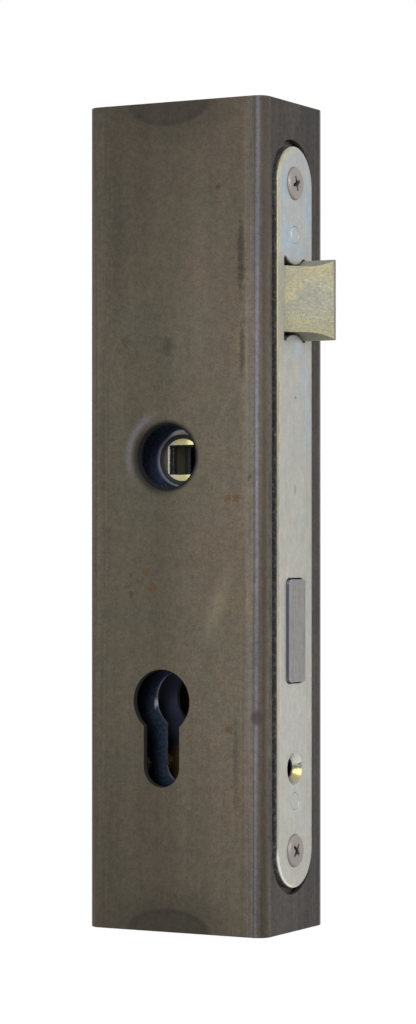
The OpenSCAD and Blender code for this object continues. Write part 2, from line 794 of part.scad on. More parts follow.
// Arm from the follower's axis, leaning by an angle from upright towards the faceplate
module arm_bar(lean, reach, root, neck) {
    translate([lock_x, follower_z]) rotate(-lean)
        polygon([[-root / 2, 0], [root / 2, 0], [neck / 2, reach], [-neck / 2, reach]]);
}

// Middle lamination of the follower: latch arm and spring arm
module follower_arm() {
    lean = follower_turn / 2;
    side = spindle_sq + 4 * spindle_room;
    half = arm_t / 2;
    tip_x = lock_x + arm_r * sin(lean);
    tip_z = follower_z + arm_r * cos(lean);
    color(GREY_STEEL) in_lock() difference() {
        union() {
            bar_y(lock_x, follower_z, cheek_d, -half, half);
            plate_xz(-half, half) arm_bar(lean, arm_r, arm_root, arm_neck);
            bar_y(tip_x, tip_z, 2 * arm_tip_r, -half, half);
            plate_xz(-half, half) arm_bar(spring_arm_rise - 90, spring_arm_r, spring_arm_root, arm_neck);
            bar_y(follower_spring_x, spring_arm_tip_z, 2 * spring_arm_tip_r, -half, half);
        }
        spindle_hole(-case_out, case_out, side);
        dowel_places() bar_y(0, 0, dowel_d + 2 * run_gap, -case_out, case_out);
    }
}

// Dowels that hold the follower's laminations together
module follower_dowels() {
    color(GREY_STEEL) in_lock() dowel_places()
        bar_y(0, 0, dowel_d, -cheek_end + sheet / 2 + run_gap, cheek_end - sheet / 2 - run_gap);
}

// Coil spring that brings the follower back
module follower_spring() {
    color(GREY_STEEL) in_lock() translate([follower_spring_x, 0, follower_seat_z])
        coil_spring(follower_coil_d, follower_spring_len, follower_wire, follower_turns, "follower_spring");
}

// Section of the latch head: full height at the back, lower on the slanted side
module latch_section() {
    difference() {
        square([latch_w, latch_h], center = true);
        for (s = [-1, 1]) {
            translate([0, s * tongue_centre]) circle(r = groove_r);
            translate([-latch_w / 4 - past / 2, s * (latch_h / 2 - groove_d / 2 + past / 2)])
                square([latch_w / 2 + past, groove_d + past], center = true);
        }
    }
}

// Hollow-ground slant from the near side at the faceplate to the far side at the tip
module latch_slant() {
    rise = latch_front - bevel_start;
    run = latch_w - latch_tip;
    chord = norm([rise, run]);
    slant_r = (chord * chord / 4 + latch_hollow * latch_hollow) / (2 * latch_hollow);
    mid = [(bevel_start + latch_front) / 2, -latch_w / 2 + run / 2];
    out = [run, -rise] / chord;
    centre = mid + out * (slant_r - latch_hollow);
    translate([centre[0], centre[1], latch_z - latch_h]) cylinder(r = slant_r, h = 2 * latch_h, $fn = 96);
}

// Slanted latch head with its guide grooves, tail slot and spring hole
module latch_head() {
    color(CHROMATE) in_lock() difference() {
        translate([0, 0, latch_z]) plate_yz(latch_rear, latch_front) latch_section();
        latch_slant();
        translate([latch_rear - past, -latch_tail_t / 2 - run_gap, latch_z - latch_h])
            cube([tail_grip + past + run_gap, latch_tail_t + 2 * run_gap,
                bar_z + latch_bar_h / 2 + run_gap - latch_z + latch_h]);
        bar_x(0, latch_spring_z, latch_coil_d + latch_wire + 4 * pass_gap,
            latch_coil_d + latch_wire + 4 * pass_gap, latch_rear - past, latch_rear + latch_spring_hole);
        bar_y(latch_pin_x, bar_z, latch_pin_d + 2 * run_gap, -latch_w, latch_w);
    }
}

// Flat tail of the latch: slotted bar and the leg that the follower's arm pushes
module latch_tail() {
    latch_slot_d = latch_post_d + 2 * pass_gap;
    bar_front = latch_rear + tail_grip;
    color(GREY_STEEL) in_lock() difference() {
        plate_xz(-latch_tail_t / 2, latch_tail_t / 2) difference() {
            union() {
                translate([leg_front - leg_w, bar_z - latch_bar_h / 2])
                    square([bar_front - leg_front + leg_w, latch_bar_h]);
                translate([leg_front - leg_w, leg_bottom]) square([leg_w, bar_z - leg_bottom]);
            }
            level_slot(latch_post_x, latch_post_x + latch_travel, bar_z, latch_slot_d);
        }
        bar_y(latch_pin_x, bar_z, latch_pin_d + 2 * run_gap, -latch_w, latch_w);
    }
}

// Pin that joins latch head and tail
module latch_pin() {
    pin_end = latch_w / 2 - pass_gap;
    color(GREY_STEEL) in_lock() bar_y(latch_pin_x, bar_z, latch_pin_d, -pin_end, pin_end);
}

// Coil spring that pushes the latch out
module latch_spring() {
    color(GREY_STEEL) in_lock() translate([latch_seat_x, 0, latch_spring_z]) rotate([0, 90, 0])
        coil_spring(latch_coil_d, latch_spring_len, latch_wire, latch_turns, "latch_spring");
}

// Tail outline of the deadbolt, with the talon notch and the deadlocking notch
module bolt_tail_outline() {
    bolt_slot_d = bolt_post_d + 2 * pass_gap;
    notch_w = stump_w + 2 * notch_room;
    difference() {
        translate([bolt_tail_rear, bolt_tail_bottom])
            square([bolt_head_rear + bolt_grip - bolt_tail_rear, bolt_top - bolt_tail_bottom]);
        translate([talon_x - talon_w / 2, bolt_tail_bottom - past])
            square([talon_w, talon_top - bolt_tail_bottom + past]);
        translate([stump_x - bolt_throw - notch_w / 2, bolt_top - notch_d])
            square([notch_w, notch_d + past]);
        level_slot(bolt_post_x - bolt_throw, bolt_post_x, bolt_post_z, bolt_slot_d);
    }
}

// Places of the rivets that join the deadbolt's head and tail
module bolt_rivet_places() {
    for (s = [-1, 1]) {
        translate([bolt_head_rear + bolt_grip / 2, 0, bolt_z + s * bolt_h / 5]) children();
    }
}

// Solid head of the deadbolt, slotted for its tail
module deadbolt_head() {
    color(GREY_STEEL) in_lock() difference() {
        translate([0, 0, bolt_z]) plate_yz(bolt_head_rear, bolt_front)
            round_rect(bolt_w, bolt_h, bolt_corner);
        translate([bolt_head_rear - past, -bolt_tail_t / 2 - run_gap, bolt_tail_bottom - run_gap])
            cube([bolt_grip + past + run_gap, bolt_tail_t + 2 * run_gap, bolt_h]);
        bolt_rivet_places() bar_y(0, 0, bolt_rivet_d + 2 * run_gap, -bolt_w, bolt_w);
    }
}

// Flat tail of the deadbolt
module deadbolt_tail() {
    color(GREY_STEEL) in_lock() difference() {
        plate_xz(-bolt_tail_t / 2, bolt_tail_t / 2) bolt_tail_outline();
        bolt_rivet_places() bar_y(0, 0, bolt_rivet_d + 2 * run_gap, -bolt_w, bolt_w);
    }
}

// Flush rivets through the deadbolt's head and tail
module deadbolt_rivets() {
    color(GREY_STEEL) in_lock() bolt_rivet_places()
        bar_y(0, 0, bolt_rivet_d, -bolt_w / 2 + pass_gap, bolt_w / 2 - pass_gap);
}

// Sprung tumbler with its eye, bar and the leg that the cam lifts
module tumbler() {
    color(YELLOW_ZINC) in_lock() difference() {
        union() {
            bar_y(tumbler_x, tumbler_z, 2 * tumbler_boss_r, tumbler_near, tumbler_far);
            plate_xz(tumbler_near, tumbler_far) {
                translate([tumbler_x, tumbler_bar_bottom])
                    square([tumbler_front - tumbler_x, tumbler_bar_top - tumbler_bar_bottom]);
                translate([tumbler_leg_x - tumbler_leg_w / 2, tumbler_leg_bottom])
                    square([tumbler_leg_w, tumbler_bar_top - tumbler_leg_bottom]);
            }
        }
        bar_y(tumbler_x, tumbler_z, tumbler_pivot_d + 2 * run_gap, 0, case_out);
        bar_y(stump_x, tumbler_bar_bottom + stump_h / 2, stump_w / 2 + 2 * run_gap, 0, case_out);
    }
}

// Stump riveted in the tumbler, riding over the bolt's upper edge
module tumbler_stump() {
    color(GREY_STEEL) in_lock() {
        translate([stump_x - stump_w / 2, -bolt_tail_t / 2, stump_bottom])
            cube([stump_w, tumbler_near + bolt_tail_t / 2, stump_h + tumbler_bar_bottom - stump_bottom]);
        bar_y(stump_x, tumbler_bar_bottom + stump_h / 2, stump_w / 2, tumbler_near - bite, tumbler_far);
    }
}

// Coil spring that presses the tumbler down
module tumbler_spring() {
    color(GREY_STEEL) in_lock()
        translate([tumbler_spring_x, (tumbler_near + tumbler_far) / 2, tumbler_bar_top])
        coil_spring(tumbler_coil_d, tumbler_spring_len, tumbler_wire, tumbler_turns, "tumbler_spring");
}

box_tube();
upper_bracket();
lower_bracket();
bracket_welds();
faceplate();
faceplate_screws();
faceplate_rivets();
case_tray();
case_cover();
spacer_posts();
cover_screws();
latch_guide_post();
bolt_guide_post();
tumbler_pivot();
follower_bushes();
follower_cheeks();
follower_arm();
follower_dowels();
follower_spring();
latch_head();
latch_tail();
latch_pin();
latch_spring();
deadbolt_head();
deadbolt_tail();
deadbolt_rivets();
tumbler();
tumbler_stump();
tumbler_spring();
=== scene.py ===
import json
import math

import bpy
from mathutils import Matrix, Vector


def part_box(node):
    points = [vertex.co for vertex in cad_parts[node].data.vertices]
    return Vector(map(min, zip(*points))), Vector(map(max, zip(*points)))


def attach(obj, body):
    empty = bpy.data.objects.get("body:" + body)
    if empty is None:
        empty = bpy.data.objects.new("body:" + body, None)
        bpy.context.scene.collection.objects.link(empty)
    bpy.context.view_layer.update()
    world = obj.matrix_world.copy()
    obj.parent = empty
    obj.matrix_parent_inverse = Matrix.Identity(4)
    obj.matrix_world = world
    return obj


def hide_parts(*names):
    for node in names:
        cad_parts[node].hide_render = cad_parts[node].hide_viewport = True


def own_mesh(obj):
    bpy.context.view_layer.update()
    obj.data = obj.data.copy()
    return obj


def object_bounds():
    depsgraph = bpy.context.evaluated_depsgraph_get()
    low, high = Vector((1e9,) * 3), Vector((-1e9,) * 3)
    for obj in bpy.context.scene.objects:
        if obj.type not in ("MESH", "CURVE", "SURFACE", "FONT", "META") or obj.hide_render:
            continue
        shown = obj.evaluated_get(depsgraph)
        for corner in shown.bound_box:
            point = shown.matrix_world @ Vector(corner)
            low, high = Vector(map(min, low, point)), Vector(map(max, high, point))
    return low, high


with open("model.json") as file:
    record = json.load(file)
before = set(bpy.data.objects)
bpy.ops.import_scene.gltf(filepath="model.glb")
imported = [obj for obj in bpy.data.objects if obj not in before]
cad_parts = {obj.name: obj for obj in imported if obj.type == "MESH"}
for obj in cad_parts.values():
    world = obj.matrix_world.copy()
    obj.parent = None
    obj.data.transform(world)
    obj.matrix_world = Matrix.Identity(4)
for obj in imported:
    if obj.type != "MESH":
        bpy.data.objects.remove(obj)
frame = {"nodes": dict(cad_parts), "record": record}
solid_low, solid_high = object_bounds()


# Box tube: a sawn length of hot-rolled 60 x 40 mm steel tube that is welded into the gate's frame.
# Its slot, handle holes and cylinder holes are cut through the wall. It keeps its brown-grey mill scale,
# with rolling streaks, painted highlights and shade on its corners and narrow faces, a few rust spots and the
# heat marks of the welds inside its ends.
def seen(red, green, blue):
    """Colour as it is seen on the piece, 0 to 255, as the linear colour that a shader takes."""
    def straight(part):
        part /= 255
        return part / 12.92 if part <= 0.04045 else ((part + 0.055) / 1.055) ** 2.4
    return (straight(red), straight(green), straight(blue), 1.0)


def put(tree, kind, feeds=None, **settings):
    """Adds a node, with values or sockets fed to its inputs."""
    node = tree.nodes.new(kind)
    for name, value in settings.items():
        setattr(node, name, value)
    for key, value in (feeds or {}).items():
        if isinstance(value, bpy.types.NodeSocket):
            tree.links.new(value, node.inputs[key])
        else:
            node.inputs[key].default_value = value
    return node


def sums(tree, operation, first, second=0.0, clamp=False):
    """Works out one sum from two values or sockets."""
    return put(tree, "ShaderNodeMath", {0: first, 1: second}, operation=operation, use_clamp=clamp).outputs[0]


def plus(tree, first, second):
    return sums(tree, "ADD", first, second)


def less(tree, first, second):
    return sums(tree, "SUBTRACT", first, second)


def times(tree, first, *others):
    """Multiplies values. A product of masks holds only where all of them do."""
    for other in others:
        first = sums(tree, "MULTIPLY", first, other)
    return first


def off(tree, value, middle):
    """How far a value is from a middle, either way."""
    return sums(tree, "ABSOLUTE", less(tree, value, middle))


def fade(tree, value, low, high, start=0.0, end=1.0):
    """Goes smoothly from start to end while value goes from low to high."""
    feeds = {"Value": value, "From Min": low, "From Max": high, "To Min": start, "To Max": end}
    return put(tree, "ShaderNodeMapRange", feeds, interpolation_type="SMOOTHSTEP").outputs[0]


def over(tree, share, under, top, way="MIX"):
    """Lays one colour over another."""
    feeds = {"Factor": share, 6: under, 7: top}
    return put(tree, "ShaderNodeMix", feeds, data_type="RGBA", blend_type=way).outputs[2]


def tone(tree, colour, value):
    """Makes a colour lighter or darker by a value that changes over the surface."""
    grey = put(tree, "ShaderNodeCombineColor", {0: value, 1: value, 2: value}).outputs[0]
    return over(tree, 1.0, colour, grey, "MULTIPLY")


def shaded(tree, colour, value, start, end):
    """Tones a colour from start to end while a value goes from 0 to 1."""
    return tone(tree, colour, fade(tree, value, 0.0, 1.0, start, end))


def tinted(tree, colour, value, start, end):
    """Shifts the hue of a colour from start to end while a value goes from 0 to 1."""
    return over(tree, 1.0, colour, over(tree, value, (*start, 1.0), (*end, 1.0)), "MULTIPLY")


def places(tree):
    """Where a point of the surface is, in metres, as a vector and as X, Y and Z."""
    spot = put(tree, "ShaderNodeTexCoord").outputs["Object"]
    return (spot, *put(tree, "ShaderNodeSeparateXYZ", {0: spot}).outputs)


def facings(tree):
    """How much a surface faces along X, Y and Z, either way."""
    normal = put(tree, "ShaderNodeNewGeometry").outputs["Normal"]
    return [sums(tree, "ABSOLUTE", part) for part in put(tree, "ShaderNodeSeparateXYZ", {0: normal}).outputs]


def reach(tree, first, second):
    """Distance in a plane, from its two parts."""
    flat = put(tree, "ShaderNodeCombineXYZ", {0: first, 1: second}).outputs[0]
    return put(tree, "ShaderNodeVectorMath", {0: flat}, operation="LENGTH").outputs["Value"]


def oval(tree, first, second, middle, half_sizes):
    """Distance from the middle of an oval, which is 1 at its edge."""
    return reach(tree, sums(tree, "DIVIDE", less(tree, first, middle[0]), half_sizes[0]),
                 sums(tree, "DIVIDE", less(tree, second, middle[1]), half_sizes[1]))


def effect(name, inputs, outputs):
    """Starts a shared shader effect with named number sockets."""
    tree = bpy.data.node_groups.new(name, "ShaderNodeTree")
    for label, value in inputs.items():
        tree.interface.new_socket(label, in_out="INPUT", socket_type="NodeSocketFloat").default_value = value
    for label in outputs:
        tree.interface.new_socket(label, in_out="OUTPUT", socket_type="NodeSocketFloat")
    return tree, tree.nodes.new("NodeGroupInput").outputs, tree.nodes.new("NodeGroupOutput").inputs


def use(tree, group, **values):
    """Places a shared effect with its own values, and gives its outputs."""
    node = tree.nodes.new("ShaderNodeGroup")
    node.node_tree = group
    for label, value in values.items():
        node.inputs[label].default_value = value
    return node.outputs


def finish_of(name, roughness, metallic):
    """Starts a material and gives it with its node tree and shader."""
    material = bpy.data.materials.new(name)
    material.use_nodes = True
    shader = material.node_tree.nodes["Principled BSDF"]
    shader.inputs["Roughness"].default_value = roughness
    shader.inputs["Metallic"].default_value = metallic
    return material, material.node_tree, shader


def surface(tree, shader, colour, height, depth, roughness=None, metallic=None):
    """Feeds a shader with what changes over the surface, and with a fine relief."""
    bump = put(tree, "ShaderNodeBump", {"Height": height, "Distance": depth, "Strength": 1.0}).outputs[0]
    feeds = {"Base Color": colour, "Roughness": roughness, "Metallic": metallic, "Normal": bump}
    for name, value in feeds.items():
        if value is not None:
            tree.links.new(value, shader.inputs[name])


def dress(material, *names):
    """Gives a material to pieces."""
    for name in names:
        frame["nodes"][name].material_slots[0].material = material


def ease(width, *names, segments=2):
    """Takes the sharpness off a solid's edges, as deburring or plating does."""
    for name in names:
        piece = frame["nodes"][name]
        weld = piece.modifiers.new("joined_faces", "WELD")
        weld.merge_threshold = 1e-6
        flat = piece.modifiers.new("plain_faces", "DECIMATE")
        flat.decimate_type = "DISSOLVE"
        flat.angle_limit = math.radians(0.4)
        edge = piece.modifiers.new("eased_edges", "BEVEL")
        edge.width = width
        edge.segments = segments
        edge.limit_method = "ANGLE"
        edge.angle_limit = math.radians(35)
        edge.harden_normals = True
        edge.miter_outer = "MITER_ARC"


streaks, given, result = effect("rolling_streaks", {"Across": 260.0, "Along": 12.0, "Fine": 1800.0},
                                ["Streak", "Cloud", "Grain"])
spot = places(streaks)[0]
stretch = put(streaks, "ShaderNodeCombineXYZ",
              {0: given["Across"], 1: given["Across"], 2: given["Along"]}).outputs[0]
stretched = put(streaks, "ShaderNodeVectorMath", {0: spot, 1: stretch}, operation="MULTIPLY").outputs[0]
for label, vector, scale, rough in (("Streak", stretched, 1.0, 0.6), ("Cloud", spot, 38.0, 0.65),
                                    ("Grain", spot, given["Fine"], 0.9)):
    noise = put(streaks, "ShaderNodeTexNoise",
                {"Vector": vector, "Scale": scale, "Detail": 5.0, "Roughness": rough})
    streaks.links.new(fade(streaks, noise.outputs[0], 0.25, 0.75), result[label])

mill_scale, tree, shader = finish_of("mill_scale_steel", roughness=0.5, metallic=0.0)
shader.inputs["Specular IOR Level"].default_value = 0.25
spot, along_x, along_y, along_z = places(tree)
facing_x, facing_y, facing_z = facings(tree)
tube_half, tube_top = solid_high[1], solid_high[2]
rolled = use(tree, streaks, Across=190.0, Along=7.0, Fine=620.0)
broad = use(tree, streaks, Across=70.0, Along=9.0, Fine=170.0)
drawn = use(tree, streaks, Across=1100.0, Along=16.0, Fine=1900.0)

# Wide faces: paler towards the front, with a pale strip before the front corner and a greyer one at the back
pale_strip = fade(tree, along_x, 0.0231, 0.024)
back_strip = fade(tree, along_x, -0.0245, -0.0285)
colour = over(tree, fade(tree, along_x, -0.008, 0.021), seen(80, 74, 63), seen(97, 89, 77))
colour = over(tree, back_strip, colour, seen(87, 82, 73))
colour = over(tree, pale_strip, colour, seen(104, 96, 89))

# Round corners: lines along the front corner, the lilac one a painted highlight, and then the narrow faces
# darkened, partly for their own scale and partly as painted shade
turned = sums(tree, "DIVIDE", sums(tree, "ARCTAN2", facing_x, facing_y), math.pi / 2)
front_half = fade(tree, along_x, 0.0, 0.01)
colour = over(tree, fade(tree, turned, 0.005, 0.06), colour, seen(82, 76, 66))
for line, half_width, share, shade in ((0.2, 0.15, 0.9, (108, 106, 120)), (0.56, 0.22, 0.9, (62, 56, 46)),
                                       (0.92, 0.12, 0.8, (84, 79, 73))):
    on_line = fade(tree, off(tree, turned, line), half_width, half_width * 0.1, 0.0, share)
    colour = over(tree, times(tree, on_line, front_half), colour, seen(*shade))
# Painted shade on the narrow faces, which also have a darker scale of their own
colour = over(tree, fade(tree, turned, 0.965, 0.995), colour, seen(62, 57, 55))

# A darker zone towards the ends, and the heat marks of the four weld beads on the wide faces
to_end = sums(tree, "MINIMUM", along_z, less(tree, tube_top, along_z))
colour = tone(tree, colour, fade(tree, to_end, 0.0, 0.075, 0.8, 1.0))
colour = tone(tree, colour, fade(tree, along_z, tube_top - 0.08, tube_top, 1.0, 0.86))
heat_x, heat_width, heat_depth = -0.002, 0.0132, 0.0066
heat = oval(tree, along_x, to_end, (heat_x, 0.0), (heat_width, heat_depth))
on_wide = fade(tree, facing_y, 0.6, 0.9)
scorched = times(tree, fade(tree, heat, 2.3, 1.0, 0.0, 0.55), on_wide)
heated = times(tree, fade(tree, heat, 1.12, 0.78, 0.0, 0.85), on_wide)
heat_rim = times(tree, fade(tree, heat, 1.14, 0.98), fade(tree, heat, 0.78, 0.95), on_wide, 0.6)
colour = over(tree, scorched, colour, seen(58, 52, 43))
colour = over(tree, heated, colour, seen(51, 47, 39))
colour = over(tree, heat_rim, colour, seen(38, 36, 31))

# Brown and olive patches, mottled grain, and drawn lines near the corners
colour = tinted(tree, colour, rolled["Cloud"], (1.07, 0.99, 0.95), (0.94, 1.0, 0.96))
colour = tinted(tree, colour, drawn["Grain"], (0.95, 0.975, 1.03), (1.06, 1.025, 0.95))
colour = shaded(tree, colour, rolled["Streak"], 0.96, 1.04)
colour = shaded(tree, colour, broad["Streak"], 0.93, 1.07)
colour = tinted(tree, colour, broad["Grain"], (0.92, 0.93, 0.96), (1.09, 1.07, 1.02))
near_corner = fade(tree, off(tree, along_x, 0.0), 0.0205, 0.0245, 0.12, 1.0)
fine_lines = times(tree, less(tree, drawn["Streak"], 0.5), near_corner)
colour = tone(tree, colour, fade(tree, fine_lines, -0.5, 0.5, 0.84, 1.14))
colour = shaded(tree, colour, rolled["Grain"], 0.79, 1.21)
colour = shaded(tree, colour, drawn["Grain"], 0.83, 1.17)

# Narrow faces: grey and brown blotches. The front one is darker on its far half, and its far corner has a
# painted gleam
on_narrow = fade(tree, facing_x, 0.93, 0.99)
blotches = fade(tree, rolled["Cloud"], 0.2, 0.8)
blotched = tinted(tree, colour, blotches, (0.82, 0.82, 0.86), (1.22, 1.18, 1.12))
colour = over(tree, on_narrow, colour, blotched)
coarse_grain = times(tree, less(tree, rolled["Grain"], 0.5), on_narrow, 0.7)
colour = tone(tree, colour, plus(tree, 1.0, coarse_grain))
far_front = times(tree, fade(tree, along_y, 0.002, 0.012), fade(tree, along_x, 0.02, 0.025))
colour = shaded(tree, colour, times(tree, on_narrow, far_front), 1.0, 0.75)
far_corner_gleam = times(tree, fade(tree, along_y, 0.0154, 0.0178), fade(tree, turned, 0.5, 0.68), far_front)
colour = over(tree, far_corner_gleam, colour, seen(146, 142, 144))

# Rubbed and smudged streaks on the near face, each a soft oval:
# middle X and Z, half width and height, lean, lightness
near_side = fade(tree, along_y, 0.0, -0.01)
ragged = times(tree, less(tree, rolled["Grain"], 0.5), 0.9)
for rub_x, rub_z, half_width, half_height, lean, lightness in (
        (0.0222, 0.199, 0.0018, 0.017, 0.0, 0.4), (0.0226, 0.172, 0.0012, 0.012, 0.0, 0.55),
        (0.0145, 0.0974, 0.0044, 0.016, 0.3, 1.42), (0.0085, 0.19, 0.005, 0.036, 0.0, 1.15),
        (-0.0195, 0.2, 0.004, 0.032, 0.0, 0.8), (0.0205, 0.05, 0.0014, 0.024, 0.0, 0.7),
        (-0.0025, 0.1734, 0.0034, 0.0034, 0.0, 0.62)):
    upright = less(tree, along_x, times(tree, less(tree, along_z, rub_z), lean))
    rub = oval(tree, upright, along_z, (rub_x, rub_z), (half_width, half_height))
    rub = times(tree, fade(tree, plus(tree, rub, times(tree, ragged, 0.5)), 1.2, 0.0), near_side)
    colour = shaded(tree, colour, rub, 1.0, lightness)

# Rust spots on the near face: middle X and Z, half width and height, share and colour
crumbled = plus(tree, ragged, times(tree, less(tree, drawn["Grain"], 0.5), 1.1))
red_rust, dark_rust = (82, 60, 34), (60, 49, 30)
for rust_x, rust_z, half_width, half_height, share, shade in (
        (-0.0166, 0.1749, 0.0024, 0.0024, 0.45, dark_rust), (0.0149, 0.2198, 0.0011, 0.0011, 0.9, dark_rust),
        (0.0205, 0.1285, 0.0024, 0.0016, 0.65, red_rust), (0.0175, 0.1284, 0.0015, 0.001, 0.5, red_rust),
        (0.0251, 0.1344, 0.0011, 0.0011, 0.6, dark_rust), (-0.0091, 0.1068, 0.0018, 0.0013, 0.75, red_rust),
        (-0.0147, 0.106, 0.0014, 0.001, 0.75, dark_rust), (-0.0159, 0.1025, 0.0014, 0.0012, 0.75, red_rust),
        (-0.0067, 0.1024, 0.0017, 0.0014, 0.75, red_rust), (-0.0082, 0.1014, 0.0012, 0.0009, 0.8, red_rust),
        (-0.0147, 0.1001, 0.0012, 0.0013, 0.75, dark_rust), (-0.0068, 0.0846, 0.0009, 0.0012, 0.5, red_rust),
        (-0.0106, 0.082, 0.0017, 0.0015, 0.55, red_rust), (0.0183, 0.0607, 0.0017, 0.0015, 0.65, red_rust)):
    rust = plus(tree, oval(tree, along_x, along_z, (rust_x, rust_z), (half_width, half_height)), crumbled)
    rust = times(tree, fade(tree, rust, 1.05, 0.35, 0.0, share), near_side)
    colour = over(tree, rust, colour, seen(*shade))

# Handle hole: its lip is pressed inwards, with a near-black painted shadow round it that is widest on the
# back and lower side, and a painted violet reflection towards the back of the tube
mounts = {mount["name"]: mount["pos_m"] for mount in frame["record"]["mounts"]}
spindle_x, _, spindle_z = mounts["spindle_square"]
hole_x, hole_z, lip_r = spindle_x + 0.0018, spindle_z + 0.0006, 0.01
reflection_r, reflection_width = lip_r + 0.0029, 0.0019
behind_hole = less(tree, hole_x, along_x)
above_hole = less(tree, along_z, hole_z)
from_hole = reach(tree, behind_hole, above_hole)
reflection_side = plus(tree, behind_hole, times(tree, above_hole, 0.4))
halo_reflection = times(tree, fade(tree, off(tree, from_hole, reflection_r), reflection_width, 0.0),
             fade(tree, reflection_side, 0.006, 0.0135), fade(tree, drawn["Grain"], 0.2, 0.8, 0.2, 0.7), on_wide)
colour = over(tree, halo_reflection, colour, seen(116, 112, 124))
shadow_side = less(tree, behind_hole, times(tree, above_hole, 0.3))
wide_lip_shadow = times(tree, fade(tree, from_hole, lip_r + 0.0027, lip_r, 0.0, 0.94),
                 fade(tree, shadow_side, 0.0, 0.008))
lip_shade = sums(tree, "MAXIMUM", fade(tree, from_hole, lip_r + 0.0013, lip_r, 0.0, 0.94), wide_lip_shadow)
colour = over(tree, lip_shade, colour, seen(10, 10, 10))

# Painted shadow on the walls of the slot and of the two holes, sawn ends and a scorched spot on the front
# corner
slot_middle, slot_half, slot_back = -0.0018, 0.0138, 0.0278
holes_middle, holes_half = -0.004, 0.013
scorch_spot, scorch_r = (0.0276, -tube_half, 0.0643), 0.003
shadowed_slot_walls = times(tree, fade(tree, facing_x, 0.6, 0.4),
                fade(tree, along_x, slot_back - 0.0002, slot_back + 0.0002),
                fade(tree, off(tree, along_y, slot_middle), slot_half + 0.0001, slot_half - 0.0001), 0.8)
colour = over(tree, shadowed_slot_walls, colour, seen(50, 49, 48))
shadowed_hole_walls = times(tree, fade(tree, facing_y, 0.995, 0.9), fade(tree, to_end, 0.002, 0.004),
                 fade(tree, off(tree, along_x, holes_middle), holes_half + 0.0005, holes_half - 0.0005))
colour = over(tree, times(tree, shadowed_hole_walls, 0.92), colour, seen(20, 18, 16))
sawn = times(tree, fade(tree, facing_z, 0.7, 0.9), fade(tree, to_end, 0.001, 0.0002))
colour = over(tree, sawn, colour, seen(128, 124, 117))
scorch = put(tree, "ShaderNodeVectorMath", {0: spot, 1: scorch_spot}, operation="DISTANCE").outputs["Value"]
colour = over(tree, fade(tree, scorch, scorch_r, scorch_r / 3, 0.0, 0.8), colour, seen(60, 50, 46))
roughness = sums(tree, "MAXIMUM", fade(tree, rolled["Streak"], 0.0, 1.0, 0.6, 0.46), shadowed_hole_walls)
height = plus(tree, rolled["Grain"], times(tree, rolled["Streak"], 0.4))
surface(tree, shader, colour, height, depth=0.00002, roughness=roughness)
dress(mill_scale, "box_tube")
ease(0.00025, "box_tube")


# Brackets: two pieces of 4 mm flat steel at the ends of the tube. A flange behind the faceplate takes its
# screw, and a leg across the tube is welded to both wide walls. The welds are short rippled beads with a
# heat-blued skin.
wear_and_sheen_edges, given, result = effect("edges_for_wear_and_sheen", {"Width": 0.0006, "Start": 0.02, "Full": 0.2}, ["Edge"])
rounded = put(wear_and_sheen_edges, "ShaderNodeBevel", {"Radius": given["Width"]}, samples=6).outputs[0]
facing = put(wear_and_sheen_edges, "ShaderNodeNewGeometry").outputs["Normal"]
alike = put(wear_and_sheen_edges, "ShaderNodeVectorMath", {0: rounded, 1: facing}, operation="DOT_PRODUCT").outputs["Value"]
wear_and_sheen_edges.links.new(fade(wear_and_sheen_edges, less(wear_and_sheen_edges, 1.0, alike), given["Start"], given["Full"]), result["Edge"])

specks, given, result = effect("rust_specks", {"Scale": 90.0, "Size": 0.1, "Share": 0.3}, ["Speck"])
cells = put(specks, "ShaderNodeTexVoronoi", {"Vector": places(specks)[0], "Scale": given["Scale"]})
chance = put(specks, "ShaderNodeSeparateColor", {0: cells.outputs["Color"]}).outputs[0]
dot = fade(specks, cells.outputs["Distance"], given["Size"], 0.0)
specks.links.new(times(specks, dot, sums(specks, "LESS_THAN", chance, given["Share"])), result["Speck"])


def lay_edge_wear_and_sheen(tree, colour, share, shade, **values):
    """Lays a colour along the edges of a piece: wear on some pieces, a painted highlight on others."""
    edge = use(tree, wear_and_sheen_edges, **values)[0]
    return over(tree, times(tree, edge, share), colour, seen(*shade))


bracket_steel, tree, shader = finish_of("bracket_steel", roughness=0.5, metallic=0.0)
rolled = use(tree, streaks, Across=180.0, Along=60.0, Fine=1400.0)
colour = over(tree, rolled["Cloud"], seen(96, 90, 82), seen(78, 73, 69))
colour = shaded(tree, colour, rolled["Grain"], 0.85, 1.12)
rust = use(tree, specks, Scale=120.0, Size=0.16, Share=0.3)[0]
colour = over(tree, times(tree, rust, 0.5), colour, seen(96, 62, 38))
colour = lay_edge_wear_and_sheen(tree, colour, 0.4, (150, 145, 136), Width=0.0005)
surface(tree, shader, colour, rolled["Grain"], depth=0.00003)
dress(bracket_steel, "upper_bracket", "lower_bracket")
ease(0.0004, "upper_bracket", "lower_bracket")

weld_metal, tree, shader = finish_of("weld_metal", roughness=0.38, metallic=0.5)
rolled = use(tree, streaks, Across=300.0, Along=300.0, Fine=2500.0)
colour = over(tree, rolled["Cloud"], seen(92, 90, 94), seen(104, 92, 78))
colour = shaded(tree, colour, rolled["Grain"], 0.8, 1.15)
surface(tree, shader, colour, rolled["Grain"], depth=0.00004)


def mesh_piece(name, points, faces, material, body):
    """Makes a smooth piece of the object from its points and faces."""
    mesh = bpy.data.meshes.new(name)
    mesh.from_pydata(points, [], faces)
    mesh.polygons.foreach_set("use_smooth", [True] * len(mesh.polygons))
    mesh.update()
    mesh.materials.append(material)
    piece = bpy.data.objects.new(name, mesh)
    bpy.context.scene.collection.objects.link(piece)
    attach(piece, body)
    return piece


